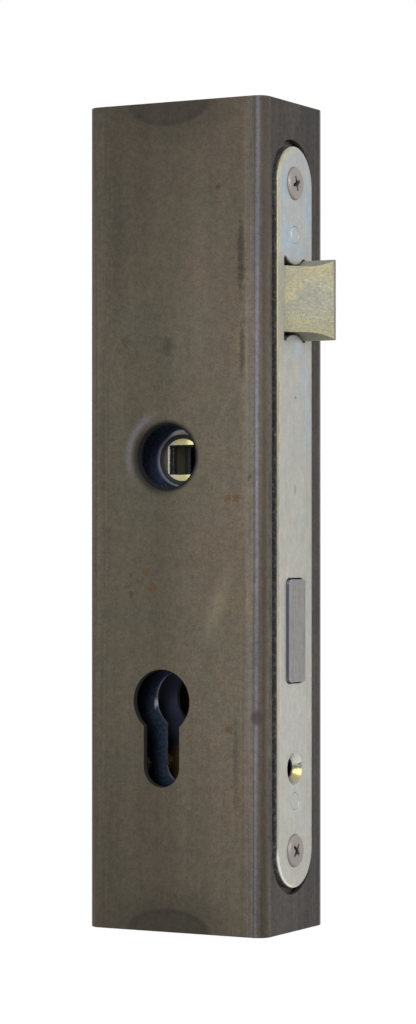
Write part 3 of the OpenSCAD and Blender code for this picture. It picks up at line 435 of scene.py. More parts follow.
def weld_beads(low, high, radius, ripple=0.0011, rings=97, sides=9):
    """Four rippled beads, each in the corner between a bracket's leg and a wide wall of the tube."""
    points, faces = [], []
    length, ring = high[0] - low[0], sides + 1
    for side in (-1, 1):
        for end in (-1, 1):
            wall = high[1] if side > 0 else low[1]
            leg = high[2] - radius if end > 0 else low[2] + radius
            start = len(points)
            for i in range(rings):
                x = low[0] + length * i / (rings - 1)
                to_tip = min(x - low[0], high[0] - x)
                swell = math.sqrt(max(0.0, 1 - (1 - min(1.0, to_tip / radius)) ** 2))
                scallop = 0.9 + 0.1 * abs(math.sin(math.pi * (x - low[0]) / ripple))
                bulge = max(radius * swell * scallop, radius * 0.02)
                points.append((x, wall, leg))
                for k in range(sides):
                    a = math.pi / 2 * k / (sides - 1)
                    points.append((x, wall - side * bulge * math.cos(a), leg + end * bulge * math.sin(a)))
            for i in range(rings - 1):
                for k in range(ring):
                    a, b = start + i * ring + k, start + i * ring + (k + 1) % ring
                    face = (a, b, b + ring, a + ring)
                    faces.append(face if side * end > 0 else face[::-1])
            for first in (start, start + (rings - 1) * ring):
                cap = tuple(range(first, first + ring))
                faces.append(cap if (first > start) == (side * end > 0) else cap[::-1])
    return points, faces


bead_points, bead_faces = weld_beads(*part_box("bracket_welds"), radius=0.0019)
beads = mesh_piece("weld_beads", bead_points, bead_faces, weld_metal, "lock_box")
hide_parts("bracket_welds")


# Faceplate: a 3 mm steel plate with half-round ends, zinc plated and clear passivated. The plating blooms to
# a pale blue near the latch, and its edges carry a painted straw-yellow highlight. The case's two rivets are
# ground flush with it.
def stops(tree, value, colours):
    """Colours that follow one another as a value goes from 0 to 1."""
    node = put(tree, "ShaderNodeValToRGB", {0: value})
    ramp = node.color_ramp
    while len(ramp.elements) < len(colours):
        ramp.elements.new(1.0)
    for stop, (where, rgb) in zip(ramp.elements, colours):
        stop.position, stop.color = where, seen(*rgb)
    return node.outputs[0]


bloom, given, result = effect("zinc_bloom", {"Scale": 60.0, "Fine": 1600.0}, ["Blue", "Straw", "Grain"])
spot = places(bloom)[0]
shifted = put(bloom, "ShaderNodeVectorMath", {0: spot, 1: (0.31, 0.17, 0.05)}, operation="ADD").outputs[0]
for label, vector, scale, detail, bend, low, high in (
        ("Blue", spot, given["Scale"], 3.0, 0.4, 0.42, 0.68),
        ("Grain", spot, given["Fine"], 3.0, 0.4, 0.4, 0.7),
        ("Straw", shifted, given["Scale"], 4.0, 0.6, 0.45, 0.7)):
    noise = put(bloom, "ShaderNodeTexNoise",
                {"Vector": vector, "Scale": scale, "Detail": detail, "Distortion": bend})
    bloom.links.new(fade(bloom, noise.outputs[0], low, high), result[label])

bright_zinc, tree, shader = finish_of("bright_zinc", roughness=0.36, metallic=0.35)
_, along_x, along_y, along_z = places(tree)
facing_x = facings(tree)[0]
plate_low, plate_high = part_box("faceplate")
plate_front = plate_high[0]
tints = use(tree, bloom, Scale=75.0, Fine=1500.0)
colour = over(tree, fade(tree, along_z, 0.085, 0.12), seen(177, 175, 168), seen(168, 167, 161))
colour = over(tree, fade(tree, along_z, 0.196, 0.204, 0.0, 0.8), colour, seen(166, 169, 169))
colour = over(tree, times(tree, tints["Straw"], 0.3), colour, seen(180, 173, 152))

# Pale blue bloom round the upper rivet, beside the screw, along the far edge and under the latch:
# middle Y and Z, half width and height, share
ragged = times(tree, less(tree, use(tree, bloom, Scale=330.0)["Blue"], 0.5), 0.35)
bloomed = 0.0
for spot_y, spot_z, half_width, half_height, share in (
        (-0.0058, 0.2057, 0.0036, 0.006, 0.85), (0.0015, 0.2022, 0.0045, 0.0026, 0.75),
        (0.008, 0.2155, 0.0026, 0.009, 0.75), (-0.0068, 0.2205, 0.0026, 0.006, 0.75),
        (0.001, 0.1727, 0.0028, 0.0026, 0.75), (0.0062, 0.164, 0.0022, 0.007, 0.4),
        (0.0085, 0.151, 0.0019, 0.01, 0.45)):
    spread = plus(tree, oval(tree, along_y, along_z, (spot_y, spot_z), (half_width, half_height)), ragged)
    bloomed = sums(tree, "MAXIMUM", bloomed, fade(tree, spread, 1.4, 0.2, 0.0, share))
colour = over(tree, bloomed, colour, seen(156, 175, 187))
colour = shaded(tree, colour, tints["Grain"], 0.93, 1.04)
colour = tone(tree, colour, fade(tree, along_y, 0.001, 0.0105, 1.01, 0.93))
skin = use(tree, streaks, Across=330.0, Along=120.0, Fine=260.0)
colour = shaded(tree, colour, skin["Streak"], 0.95, 1.05)
colour = shaded(tree, colour, skin["Grain"], 0.93, 1.07)

# A pit and scuffs below the latch: middle Y and Z, half width and height, share
for mark_y, mark_z, half_width, half_height, share in (
        (0.0, 0.1585, 0.0006, 0.0005, 0.8), (-0.0005, 0.1311, 0.0008, 0.0016, 0.4),
        (-0.0042, 0.1679, 0.0022, 0.0028, 0.12)):
    mark = plus(tree, oval(tree, along_y, along_z, (mark_y, mark_z), (half_width, half_height)), ragged)
    colour = over(tree, fade(tree, mark, 1.1, 0.4, 0.0, share), colour, seen(84, 82, 80))

# Edges: a painted straw highlight inside the rim, painted shade on the rim of the near side, a painted
# highlight round the lower end, brown where they are rubbed, and painted shadow on the sides, flecked with
# painted glints
filed = use(tree, bloom, Scale=2200.0, Fine=2600.0)
plate_y, plate_z = (plate_low[1] + plate_high[1]) / 2, (plate_low[2] + plate_high[2]) / 2
plate_r = (plate_high[1] - plate_low[1]) / 2
straight_half, low_curve = (plate_high[2] - plate_low[2]) / 2 - plate_r, plate_low[2] + plate_r
from_side = less(tree, along_y, plate_y)
past_straight = sums(tree, "MAXIMUM", less(tree, off(tree, along_z, plate_z), straight_half), 0.0)
from_edge = less(tree, plate_r, reach(tree, from_side, past_straight))
straw_highlight = times(tree, fade(tree, from_edge, 0.0024, 0.0007, 0.0, 0.8),
                   fade(tree, from_side, 0.004, -0.005), fade(tree, filed["Straw"], 0.0, 1.0, 0.3, 1.0))
straw = over(tree, fade(tree, along_z, 0.1, 0.18), seen(200, 193, 158), seen(214, 200, 122))
colour = over(tree, straw_highlight, colour, straw)
near_rim_shade = times(tree, fade(tree, plus(tree, from_edge, times(tree, ragged, 0.002)), 0.0012, 0.0003),
                 fade(tree, from_side, 0.0, -0.005), fade(tree, along_z, 0.15, 0.19, 0.55, 0.25),
                 fade(tree, along_z, 0.08, 0.12, 0.6, 1.0))
colour = over(tree, near_rim_shade, colour, seen(70, 68, 62))
low_gleam = times(tree, fade(tree, from_edge, 0.0011, 0.0004, 0.0, 0.75),
                  fade(tree, from_side, 0.001, -0.004),
                  fade(tree, along_z, low_curve + 0.002, low_curve - 0.002))
colour = over(tree, low_gleam, colour, seen(240, 239, 232))
edge = use(tree, wear_and_sheen_edges, Width=0.0006, Start=0.015, Full=0.12)[0]
rub_and_gleam_mask = times(tree, edge, fade(tree, filed["Blue"], 0.1, 0.8, 0.85, 0.1))
colour = over(tree, rub_and_gleam_mask, colour, seen(120, 112, 84))
# Painted shadow on the plate's sides, flecked with painted glints
side = times(tree, fade(tree, along_x, plate_front - 0.0003, plate_front - 0.0007),
             fade(tree, facing_x, 0.45, 0.25), 0.92)
shadow_with_glints = over(tree, fade(tree, filed["Blue"], 0.4, 1.0), seen(84, 83, 84), seen(124, 124, 126))
shadow_with_glints = shaded(tree, shadow_with_glints, use(tree, bloom, Scale=800.0)["Blue"], 0.8, 1.9)
colour = over(tree, side, colour, shadow_with_glints)

# The empty countersunk hole for the cylinder's screw is left bright by the tool, with painted straw and brown
# reflections round it
_, hole_y, hole_z = mounts["cylinder_screw_hole"]
cone_r = 0.0052
beside_hole, above_hole = less(tree, along_y, hole_y), less(tree, along_z, hole_z)
from_hole = reach(tree, beside_hole, above_hole)
in_cone = times(tree, fade(tree, from_hole, cone_r + 0.0001, cone_r - 0.0001),
                fade(tree, along_x, plate_front, plate_front - 0.0003), fade(tree, facing_x, 0.25, 0.45))
round_hole = sums(tree, "ARCTAN2", above_hole, beside_hole)
tool_path = put(tree, "ShaderNodeCombineXYZ",
                {0: times(tree, round_hole, 3.0), 1: times(tree, from_hole, 260.0)}).outputs[0]
tool_mark = put(tree, "ShaderNodeTexNoise", {"Vector": tool_path, "Scale": 3.0, "Detail": 3.0}).outputs[0]
gleam = plus(tree, times(tree, round_hole, 0.5 / math.pi),
             plus(tree, times(tree, less(tree, tool_mark, 0.5), 0.16), 0.5))
cone_reflections = stops(tree, gleam, ((0.3, (150, 148, 138)), (0.4, (168, 152, 86)), (0.475, (184, 172, 120)),
                                  (0.515, (74, 69, 64)), (0.56, (204, 202, 192)), (0.74, (180, 182, 178))))
colour = over(tree, in_cone, colour, cone_reflections)
roughness = less(tree, fade(tree, tints["Grain"], 0.0, 1.0, 0.32, 0.44), times(tree, in_cone, 0.08))
surface(tree, shader, colour, tints["Grain"], depth=0.000015, roughness=roughness,
        metallic=fade(tree, in_cone, 0.0, 1.0, 0.35, 0.6))
dress(bright_zinc, "faceplate")
ease(0.0004, "faceplate", segments=3)

rivet_zinc, tree, shader = finish_of("rivet_zinc", roughness=0.34, metallic=0.35)
_, _, along_y, along_z = places(tree)
rivet_low, rivet_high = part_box("faceplate_rivets")
rivet_r = (rivet_high[1] - rivet_low[1]) / 2
tints = use(tree, bloom, Scale=320.0, Fine=1500.0)
aside = less(tree, along_y, (rivet_low[1] + rivet_high[1]) / 2)
upper = less(tree, along_z, rivet_high[2] - rivet_r)
lower = less(tree, along_z, rivet_low[2] + rivet_r)
near_upper = sums(tree, "GREATER_THAN", along_z, (rivet_low[2] + rivet_high[2]) / 2)
from_upper, from_lower = reach(tree, aside, upper), reach(tree, aside, lower)
colour = over(tree, tints["Blue"], seen(170, 172, 168), seen(166, 176, 180))
upper_colour = over(tree, tints["Blue"], seen(164, 170, 172), seen(156, 174, 186))
colour = over(tree, near_upper, colour, upper_colour)
# Painted shade round the rim on the far side of both rivets, and a painted highlight crescent on the near
# lower side of the upper one
to_rim = fade(tree, sums(tree, "MINIMUM", from_upper, from_lower), rivet_r - 0.0006, rivet_r - 0.0001)
painted_rim = times(tree, to_rim, fade(tree, aside, -0.0005, 0.0015, 0.0, 0.15))
colour = over(tree, painted_rim, colour, seen(112, 114, 116))
lit_side = less(tree, aside, times(tree, upper, 0.35))
highlight_crescent = times(tree, fade(tree, from_upper, rivet_r - 0.0012, rivet_r - 0.0006),
                 fade(tree, lit_side, -0.0012, -0.0021),
                 fade(tree, use(tree, bloom, Scale=1300.0)["Blue"], 0.1, 0.6, 0.2, 1.0), near_upper)
colour = over(tree, highlight_crescent, colour, seen(236, 236, 228))
surface(tree, shader, colour, tints["Grain"], depth=0.000015)
dress(rivet_zinc, "faceplate_rivets")
ease(0.0001, "faceplate_rivets")


# Fixing screws: countersunk steel screws with a cross recess, through the faceplate into the brackets.
# Their plating is a dull pinkish grey, with painted shade in the recess and down the head's sunk side, and a
# bright rim that is partly wear and partly a painted highlight.
def clouded(tree, scale, fine, clouds, share, first, second, grain):
    """A colour that clouds from one tone to another and is grained, with the effect that gives it."""
    tints = use(tree, bloom, Scale=scale, Fine=fine)
    colour = over(tree, times(tree, tints[clouds], share), seen(*first), seen(*second))
    return shaded(tree, colour, tints["Grain"], *grain), tints


screw_steel, tree, shader = finish_of("screw_steel", roughness=0.4, metallic=0.35)
_, along_x, along_y, along_z = places(tree)
colour, tints = clouded(tree, scale=260.0, fine=2600.0, clouds="Blue", share=0.5,
                        first=(148, 139, 134), second=(138, 131, 128), grain=(0.9, 1.08))
colour = lay_edge_wear_and_sheen(tree, colour, 0.45, (200, 194, 186), Width=0.0004, Start=0.02, Full=0.15)
screw_low, screw_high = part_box("faceplate_screws")
crown, head_r = screw_high[0], (screw_high[1] - screw_low[1]) / 2
from_middle = less(tree, along_y, (screw_low[1] + screw_high[1]) / 2)
# Painted shade in each cross recess and, below the crown, down the sunk side of the head
for middle_z in (screw_low[2] + head_r, screw_high[2] - head_r):
    from_recess = reach(tree, from_middle, less(tree, along_z, middle_z))
    colour = over(tree, fade(tree, from_recess, 0.0018, 0.0006, 0.0, 0.8), colour, seen(66, 48, 42))
colour = over(tree, fade(tree, along_x, crown - 0.0009, crown - 0.0014, 0.0, 0.85), colour, seen(52, 45, 42))
surface(tree, shader, colour, tints["Grain"], depth=0.00002)
dress(screw_steel, "faceplate_screws")
ease(0.00015, "faceplate_screws")


# Lock case: a folded tray and a flat cover of 1.5 mm sheet, blue passivated almost to black with violet and
# teal blotches. Tapped posts riveted in the tray hold them apart, and yellow passivated screws fasten the
# cover.
blue_zinc, tree, shader = finish_of("blue_zinc", roughness=0.36, metallic=0.4)
shader.inputs["Specular IOR Level"].default_value = 0.05
_, along_x, along_y, along_z = places(tree)
facing_y = facings(tree)[1]
tints = use(tree, bloom, Scale=120.0, Fine=1400.0)
colour = over(tree, tints["Blue"], seen(52, 64, 85), seen(58, 59, 80))
colour = over(tree, times(tree, tints["Straw"], 0.5), colour, seen(46, 66, 78))
colour = shaded(tree, colour, tints["Grain"], 0.75, 1.25)

# The sheet is given painted shade away from the cylinder's hole, which is round with a straight foot, and
# painted light a little at the hole's edge
cylinder_x, _, cylinder_z = mounts["cylinder_profile"]
round_r, foot_r, foot_z, foot_half = 0.0085, 0.005, -0.01, 0.0095
from_key_x, from_key_z = less(tree, along_x, cylinder_x), less(tree, along_z, cylinder_z)
from_round = less(tree, reach(tree, from_key_x, from_key_z), round_r)
past_foot = sums(tree, "MAXIMUM", less(tree, off(tree, from_key_z, foot_z), foot_half), 0.0)
from_foot = less(tree, reach(tree, from_key_x, past_foot), foot_r)
from_key = sums(tree, "MINIMUM", from_round, from_foot)
colour = tone(tree, colour, fade(tree, from_key, 0.0002, 0.0055, 1.3, 0.25))

# Painted light makes the far sheet paler inside, most in its upper part; the edges are tinted blue and, on
# the far sheet, darkened as painted shade; the walls of its holes are painted near black as painted shadow,
# those of the near sheet dim blue
tray_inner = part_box("case_tray")[1][1] - 0.001
far = fade(tree, along_y, 0.0, 0.001)
inner = times(tree, far, fade(tree, along_y, tray_inner, tray_inner - 0.0002))
far_sheet_lit = over(tree, fade(tree, along_z, 0.0685, 0.061), seen(112, 120, 148), seen(64, 68, 84))
colour = over(tree, inner, colour, far_sheet_lit)
edge = use(tree, wear_and_sheen_edges, Width=0.0008, Start=0.02, Full=0.3)[0]
colour = over(tree, times(tree, edge, 0.5), colour, seen(44, 62, 94))
colour = over(tree, times(tree, edge, far), colour, seen(22, 24, 34))
in_hole = fade(tree, facing_y, 0.6, 0.3, 0.0, 0.9)
colour = over(tree, in_hole, colour, over(tree, far, seen(64, 74, 92), seen(8, 9, 12)))

# Round the follower's bush the painted shade is lifted, up to five times lighter, with a darker ring on the
# dish's slope and a painted highlight on the rim, brightest on its upper front side
from_axis_x, from_axis_z = less(tree, along_x, spindle_x), less(tree, along_z, spindle_z)
from_axis = reach(tree, from_axis_x, from_axis_z)
bush_low, bush_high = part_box("follower_bushes")
bush_r = (bush_high[2] - bush_low[2]) / 2 - 0.001
colour = tone(tree, colour, fade(tree, from_axis, 0.019, 0.015, 1.0, 5.0))
sunk_rim = times(tree, fade(tree, facing_y, 0.97, 0.92), fade(tree, from_axis, 0.014, 0.012))
colour = over(tree, sunk_rim, colour, seen(30, 36, 50))
lit_rim = fade(tree, plus(tree, from_axis_x, from_axis_z), 0.001, 0.009)
to_rim = less(tree, from_axis, times(tree, lit_rim, 0.0008))
painted_rim = fade(tree, to_rim, bush_r + 0.0009, bush_r + 0.0002, 0.0, 0.9)
colour = over(tree, painted_rim, colour, over(tree, lit_rim, seen(124, 134, 150), seen(240, 239, 234)))

# A painted highlight beside the cylinder's hole on the near sheet, and a brown patch on the far one
rub_and_gleam_mask = oval(tree, along_x, along_z, (-0.0132, 0.0669), (0.0005, 0.0022))
rub_and_gleam_mask = times(tree, fade(tree, rub_and_gleam_mask, 1.0, 0.2, 0.0, 0.85), fade(tree, along_y, -0.005, -0.006))
colour = over(tree, rub_and_gleam_mask, colour, seen(206, 210, 220))
patch_x, patch_z = -0.0135, 0.0486
brown_patch = times(tree, fade(tree, off(tree, along_z, patch_z), 0.0058, 0.0045),
              fade(tree, off(tree, along_x, patch_x), 0.003, 0.0018), fade(tree, along_y, 0.0, 0.003), 0.7)
colour = over(tree, brown_patch, colour, seen(120, 98, 60))
dulled = sums(tree, "MAXIMUM", edge, times(tree, painted_rim, less(tree, 1.0, lit_rim)))
dulled = sums(tree, "MAXIMUM", times(tree, dulled, fade(tree, in_hole, 0.0, 0.9, 1.0, 0.0)),
              times(tree, in_hole, far))
surface(tree, shader, colour, tints["Grain"], depth=0.00002,
        roughness=fade(tree, dulled, 0.0, 1.0, 0.38, 0.75), metallic=fade(tree, dulled, 0.0, 1.0, 0.4, 0.0))
dress(blue_zinc, "case_tray", "case_cover")
ease(0.0004, "case_tray", "case_cover", segments=3)

yellow_zinc, tree, shader = finish_of("yellow_zinc", roughness=0.38, metallic=0.55)
tints = use(tree, bloom, Scale=170.0, Fine=1800.0)
colour = over(tree, tints["Straw"], seen(206, 194, 132), seen(186, 168, 104))
colour = over(tree, times(tree, tints["Blue"], 0.3), colour, seen(198, 202, 168))
colour = shaded(tree, colour, tints["Grain"], 0.9, 1.06)
surface(tree, shader, colour, tints["Grain"], depth=0.000015)
dress(yellow_zinc, "spacer_posts", "latch_guide_post", "bolt_guide_post", "tumbler_pivot")
ease(0.0002, "spacer_posts", "latch_guide_post", "bolt_guide_post", "tumbler_pivot")

# Cover screws: yellow passivated, their heads darkened as painted shade, with a painted highlight along their
# edges
dark_painted_zinc, tree, shader = finish_of("yellow_zinc_painted_dark", roughness=0.5, metallic=0.4)
colour, tints = clouded(tree, scale=400.0, fine=2200.0, clouds="Straw", share=1.0,
                        first=(74, 66, 36), second=(56, 50, 32), grain=(0.8, 1.15))
colour = lay_edge_wear_and_sheen(tree, colour, 1.0, (222, 192, 118), Width=0.0006, Start=0.03, Full=0.25)
surface(tree, shader, colour, tints["Grain"], depth=0.00002)
dress(dark_painted_zinc, "cover_screws")
ease(0.0002, "cover_screws")


# Follower: two pale yellow passivated cheeks with journals and a grey steel arm plate between them, held by
# dowels. It turns in black plastic bushes pressed into the case, and the handle's square spindle goes through
# it.
cheek_zinc, tree, shader = finish_of("cheek_zinc", roughness=0.34, metallic=0.3)
_, along_x, along_y, along_z = places(tree)
cheek_low, cheek_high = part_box("follower_cheeks")
half_square = 0.0044
back_edge = spindle_x - half_square
tints = use(tree, bloom, Scale=170.0, Fine=1800.0)
# A painted white highlight on the cheek just behind the square, pale yellow beyond it
past_white_gleam = fade(tree, along_x, spindle_x - 0.0042, spindle_x - 0.0005)
colour = over(tree, past_white_gleam, seen(255, 252, 236), seen(252, 243, 172))
# Painted shadow where the bush's lip overhangs the cheek
bush_lip_shadow = fade(tree, along_x, back_edge - 0.0005, back_edge - 0.0008, 0.0, 0.9)
colour = over(tree, bush_lip_shadow, colour, seen(58, 54, 44))

# The square is dark with painted shade, with a painted highlight at its mouth and a painted glint line inside
from_middle = sums(tree, "MAXIMUM", off(tree, along_x, spindle_x), off(tree, along_z, spindle_z))
in_square = fade(tree, from_middle, half_square + 0.0002, half_square + 0.00005)
deep = sums(tree, "MINIMUM", less(tree, along_y, cheek_low[1]), less(tree, cheek_high[1], along_y))
square_shade_and_glints = stops(tree, sums(tree, "DIVIDE", deep, 0.004),
                ((0.0, (226, 220, 200)), (0.05, (34, 32, 28)), (0.3, (28, 27, 24)), (0.4, (214, 214, 204)),
                 (0.5, (28, 27, 24))))
square_shade_and_glints = tone(tree, square_shade_and_glints, fade(tree, tints["Grain"], 0.2, 0.8, 0.3, 1.2))
colour = over(tree, in_square, colour, square_shade_and_glints)
shine = less(tree, fade(tree, along_x, spindle_x - 0.0005, spindle_x + 0.0035), in_square)
surface(tree, shader, colour, tints["Grain"], depth=0.000003,
        roughness=fade(tree, shine, -1.0, 1.0, 0.8, 0.14), metallic=fade(tree, shine, -1.0, 1.0, 0.0, 0.92))
dress(cheek_zinc, "follower_cheeks")
ease(0.0002, "follower_cheeks")

bush_plastic, tree, shader = finish_of("bush_plastic", roughness=0.5, metallic=0.0)
colour, tints = clouded(tree, scale=200.0, fine=1900.0, clouds="Blue", share=1.0,
                        first=(62, 58, 52), second=(48, 46, 44), grain=(0.85, 1.1))
surface(tree, shader, colour, tints["Grain"], depth=0.00002)
dress(bush_plastic, "follower_bushes")
ease(0.0002, "follower_bushes")

grey_steel, tree, shader = finish_of("grey_steel", roughness=0.4, metallic=0.45)
colour, tints = clouded(tree, scale=110.0, fine=2000.0, clouds="Blue", share=0.5,
                        first=(138, 136, 134), second=(128, 130, 134), grain=(0.9, 1.1))
colour = lay_edge_wear_and_sheen(tree, colour, 0.6, (196, 194, 190), Width=0.0005, Start=0.02, Full=0.15)
surface(tree, shader, colour, tints["Grain"], depth=0.00002)
dress(grey_steel, "follower_dowels")

arm_steel, tree, shader = finish_of("arm_steel", roughness=0.45, metallic=0.4)
_, along_x, _, along_z = places(tree)
colour, tints = clouded(tree, scale=110.0, fine=2000.0, clouds="Blue", share=1.0,
                        first=(136, 134, 130), second=(118, 118, 116), grain=(0.88, 1.1))
from_axis = reach(tree, less(tree, along_x, spindle_x), less(tree, along_z, spindle_z))
in_square = fade(tree, from_axis, 0.0066, 0.006)
colour = over(tree, times(tree, in_square, 0.9), colour, seen(104, 98, 58))
surface(tree, shader, colour, tints["Grain"], depth=0.00002,
        roughness=fade(tree, in_square, 0.0, 1.0, 0.45, 0.8),
        metallic=fade(tree, in_square, 0.0, 1.0, 0.4, 0.0))
dress(arm_steel, "follower_arm")
ease(0.0002, "follower_arm", "follower_dowels")


# Latch: a cast head with a hollow slanted face and a guide groove along its top and bottom, with a dull
# yellow chromate over a granular skin. A flat tail is pinned in its back, and the follower's arm pulls it in.
latch_cast, tree, shader = finish_of("latch_cast", roughness=0.5, metallic=0.2)
_, along_x, _, along_z = places(tree)
facing_x, _, facing_z = facings(tree)
latch_low, latch_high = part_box("latch_head")
latch_tip, latch_middle = latch_high[0], (latch_low[2] + latch_high[2]) / 2
tints = use(tree, bloom, Scale=120.0, Fine=900.0)
to_ends = fade(tree, off(tree, along_z, latch_middle), 0.001, 0.011)
colour = over(tree, to_ends, seen(141, 140, 124), seen(154, 147, 113))
colour = over(tree, times(tree, tints["Straw"], 0.6), colour, seen(168, 156, 108))
colour = over(tree, times(tree, tints["Blue"], 0.55), colour, seen(127, 126, 114))
pits = use(tree, streaks, Across=800.0, Along=2000.0, Fine=1600.0)
colour = shaded(tree, colour, pits["Streak"], 0.88, 1.21)
colour = shaded(tree, colour, pits["Grain"], 0.86, 1.22)
# Lighter edges, partly wear and partly a painted highlight
colour = lay_edge_wear_and_sheen(tree, colour, 0.4, (196, 190, 158), Width=0.0006, Start=0.02, Full=0.18)
colour = over(tree, fade(tree, facing_z, 0.35, 0.75, 0.0, 0.8), colour, seen(126, 126, 118))
tip = times(tree, fade(tree, along_x, latch_tip - 0.0008, latch_tip - 0.0003),
            fade(tree, facing_x, 0.6, 0.9), 0.75)
colour = over(tree, tip, colour, seen(112, 108, 94))
surface(tree, shader, colour, plus(tree, pits["Streak"], pits["Grain"]), depth=0.00006,
        roughness=fade(tree, tints["Grain"], 0.0, 1.0, 0.42, 0.58))
dress(latch_cast, "latch_head")
ease(0.0008, "latch_head", segments=3)
dress(grey_steel, "latch_tail", "latch_pin")
ease(0.0002, "latch_tail", "latch_pin")


# Deadbolt: a solid steel head, slotted and riveted on a flat tail that the cylinder's cam throws. It is plain
# zinc grey with fine vertical grinding marks, and stands a little proud of the faceplate when drawn back.
bolt_zinc, tree, shader = finish_of("bolt_zinc", roughness=0.42, metallic=0.4)
along_y, facing_x = places(tree)[2], facings(tree)[0]
bolt_low, bolt_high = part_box("deadbolt_head")
near_edge, bolt_middle = bolt_low[1], (bolt_low[1] + bolt_high[1]) / 2
ground = use(tree, streaks, Across=1500.0, Along=60.0, Fine=1700.0)
coarse = use(tree, streaks, Across=700.0, Along=90.0, Fine=520.0)
colour = over(tree, ground["Cloud"], seen(124, 123, 122), seen(133, 131, 129))
colour = shaded(tree, colour, ground["Streak"], 0.95, 1.05)
colour = shaded(tree, colour, coarse["Grain"], 0.86, 1.14)
colour = shaded(tree, colour, coarse["Streak"], 0.94, 1.06)
# Painted shade on the sides, and a painted highlight along the edges, strongest on the near half
colour = over(tree, fade(tree, facing_x, 0.8, 0.3, 0.0, 0.85), colour, seen(84, 88, 106))
edge = use(tree, wear_and_sheen_edges, Width=0.0004, Start=0.02, Full=0.15)[0]
rub_and_gleam_mask = times(tree, edge, fade(tree, along_y, bolt_middle, near_edge + 0.001, 0.15, 0.85))
colour = over(tree, rub_and_gleam_mask, colour, seen(212, 210, 208))
surface(tree, shader, colour, ground["Streak"], depth=0.00001)
dress(bolt_zinc, "deadbolt_head")
dress(grey_steel, "deadbolt_tail", "deadbolt_rivets")
ease(0.0003, "deadbolt_head")
ease(0.0002, "deadbolt_tail", "deadbolt_rivets")


# Tumbler: a sprung plate with a riveted stump, which rides on the bolt's upper edge and drops in its notch
# when the bolt is out. The cylinder's cam lifts it by its leg.
dress(yellow_zinc, "tumbler")
dress(grey_steel, "tumbler_stump")
ease(0.0002, "tumbler", "tumbler_stump")


# Springs: coils of drawn spring wire with closed end turns, one each behind the latch, under the follower's
# spring arm and above the tumbler.
spring_wire, tree, shader = finish_of("spring_wire", roughness=0.3, metallic=0.8)
colour, tints = clouded(tree, scale=400.0, fine=2400.0, clouds="Straw", share=1.0,
                        first=(150, 150, 150), second=(120, 112, 100), grain=(0.85, 1.1))
surface(tree, shader, colour, tints["Grain"], depth=0.00001)


def wound_wire(low, high, axis, wire, turns, steps=28, sides=10, dead=0.12):
    """A coil that fills the given box along an axis, with its first and last turn wound close."""
    middle = (low + high) / 2
    length = high[axis] - low[axis] - wire
    others = [(axis + 1) % 3, (axis + 2) % 3]
    radius = (high[others[0]] - low[others[0]] - wire) / 2
    count = turns * steps
    line = []
    for i in range(count + 1):
        share = i / count
        rise = share + dead * math.sin(2 * math.pi * share) / (2 * math.pi)
        point = Vector(middle)
        point[axis] = low[axis] + wire / 2 + length * rise
        point[others[0]] += radius * math.cos(2 * math.pi * i / steps)
        point[others[1]] += radius * math.sin(2 * math.pi * i / steps)
        line.append(point)
    up = Vector((0, 0, 0))
    up[axis] = 1.0
    points, faces = [], []
    for i, point in enumerate(line):
        along = (line[min(i + 1, count)] - line[max(i - 1, 0)]).normalized()
        out = (up.cross(along)).normalized()
        over_wire = along.cross(out)
        for k in range(sides):
            a = 2 * math.pi * k / sides
            points.append(point + wire / 2 * (math.cos(a) * out + math.sin(a) * over_wire))
    for i in range(count):
        for k in range(sides):
            a, b = i * sides + k, i * sides + (k + 1) % sides
            faces.append((a, b, b + sides, a + sides))
    faces.append(tuple(range(sides))[::-1])
    faces.append(tuple(range(count * sides, (count + 1) * sides)))
    return points, faces


for name, joint, axis, wire, turns, anchor_end, keep in (
        ("follower_spring", "follower_turn", 2, 0.0009, 7, 0, 0.68),
        ("latch_spring", "latch_slide", 0, 0.0008, 10, 0, 0.71),
        ("tumbler_spring", "tumbler_lift", 2, 0.0005, 6, 1, 0.8)):
    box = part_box(name)
    coil_points, coil_faces = wound_wire(box[0], box[1], axis, wire, turns)
    coil = mesh_piece("wound_" + name, coil_points, coil_faces, spring_wire, "lock_box")
    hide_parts(name)
    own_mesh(coil)


# Stage: a plain pale floor just below the tube, a white backdrop and soft studio light.
# The camera stands level, where the photograph was taken.
floor_half, floor_gap = 6, 0.0005
floor_mesh = bpy.data.meshes.new("floor")
corners = [(x * floor_half, y * floor_half, 0) for x, y in ((-1, -1), (1, -1), (1, 1), (-1, 1))]
floor_mesh.from_pydata(corners, [], [(0, 1, 2, 3)])
floor = bpy.data.objects.new("floor", floor_mesh)
floor.location.z = solid_low[2] - floor_gap
bpy.context.scene.collection.objects.link(floor)


def shows_backdrop(tree):
    """1 for rays from the camera, from gloss and through glass, which see the white backdrop."""
    path = put(tree, "ShaderNodeLightPath").outputs
    seen_rays = plus(tree, path["Is Camera Ray"], path["Is Glossy Ray"])
    return sums(tree, "ADD", seen_rays, path["Is Transmission Ray"], clamp=True)


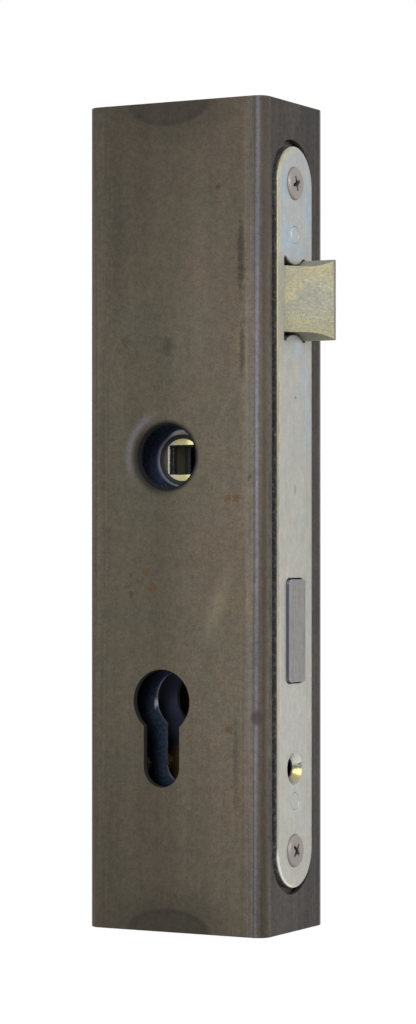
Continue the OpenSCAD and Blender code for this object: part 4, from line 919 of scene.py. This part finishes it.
floor_finish = bpy.data.materials.new("pale_floor")
floor_finish.use_nodes = True
tree = floor_finish.node_tree
tree.nodes.clear()
matt = put(tree, "ShaderNodeBsdfDiffuse", {"Color": (0.7, 0.7, 0.7, 1.0)}).outputs[0]
white = put(tree, "ShaderNodeEmission", {"Color": (1.0, 1.0, 1.0, 1.0), "Strength": 1.061}).outputs[0]
share = times(tree, shows_backdrop(tree), 0.92)
both = put(tree, "ShaderNodeMixShader", {0: share, 1: matt, 2: white}).outputs[0]
put(tree, "ShaderNodeOutputMaterial", {"Surface": both})
floor_mesh.materials.append(floor_finish)

world = bpy.data.worlds.new("studio")
bpy.context.scene.world = world
world.use_nodes = True
tree = world.node_tree
tree.nodes.clear()
soft = put(tree, "ShaderNodeBackground", {"Color": (0.96, 0.98, 1.0, 1.0), "Strength": 0.45}).outputs[0]
backdrop = put(tree, "ShaderNodeBackground", {"Color": (1.0, 1.0, 1.0, 1.0), "Strength": 1.0}).outputs[0]
both = put(tree, "ShaderNodeMixShader", {0: shows_backdrop(tree), 1: soft, 2: backdrop}).outputs[0]
put(tree, "ShaderNodeOutputWorld", {"Surface": both})


def lamp(name, place, aim, size, power):
    """A round area lamp that points from its place at its aim."""
    light = bpy.data.lights.new(name, "AREA")
    light.shape, light.size, light.energy = "DISK", size, power
    thing = bpy.data.objects.new(name, light)
    thing.location = place
    thing.rotation_mode = "QUATERNION"
    thing.rotation_quaternion = (Vector(aim) - Vector(place)).to_track_quat("-Z", "Y")
    bpy.context.scene.collection.objects.link(thing)


tube_middle = (0.0, 0.0, 0.123)
lamp("key", place=(0.29, -1.36, 0.68), aim=tube_middle, size=0.6, power=9.0)
lamp("fill", place=(1.27, -0.46, 0.5), aim=tube_middle, size=0.8, power=9.0)

view_turn, distance, eye_height = math.radians(28.373), 0.9213, 0.1151
lens = bpy.data.cameras.new("photo_view")
lens.sensor_width, lens.lens = 36.0, 107.39
lens.shift_x, lens.shift_y = 0.0015, 0.031
lens.clip_start, lens.clip_end = 0.05, 50.0
camera = bpy.data.objects.new("photo_view", lens)
camera.location = (math.sin(view_turn) * distance, -math.cos(view_turn) * distance, eye_height)
camera.rotation_euler = (math.pi / 2, 0.0, view_turn)
bpy.context.scene.collection.objects.link(camera)
bpy.context.scene.camera = camera
bpy.context.scene.view_settings.view_transform = "Standard"
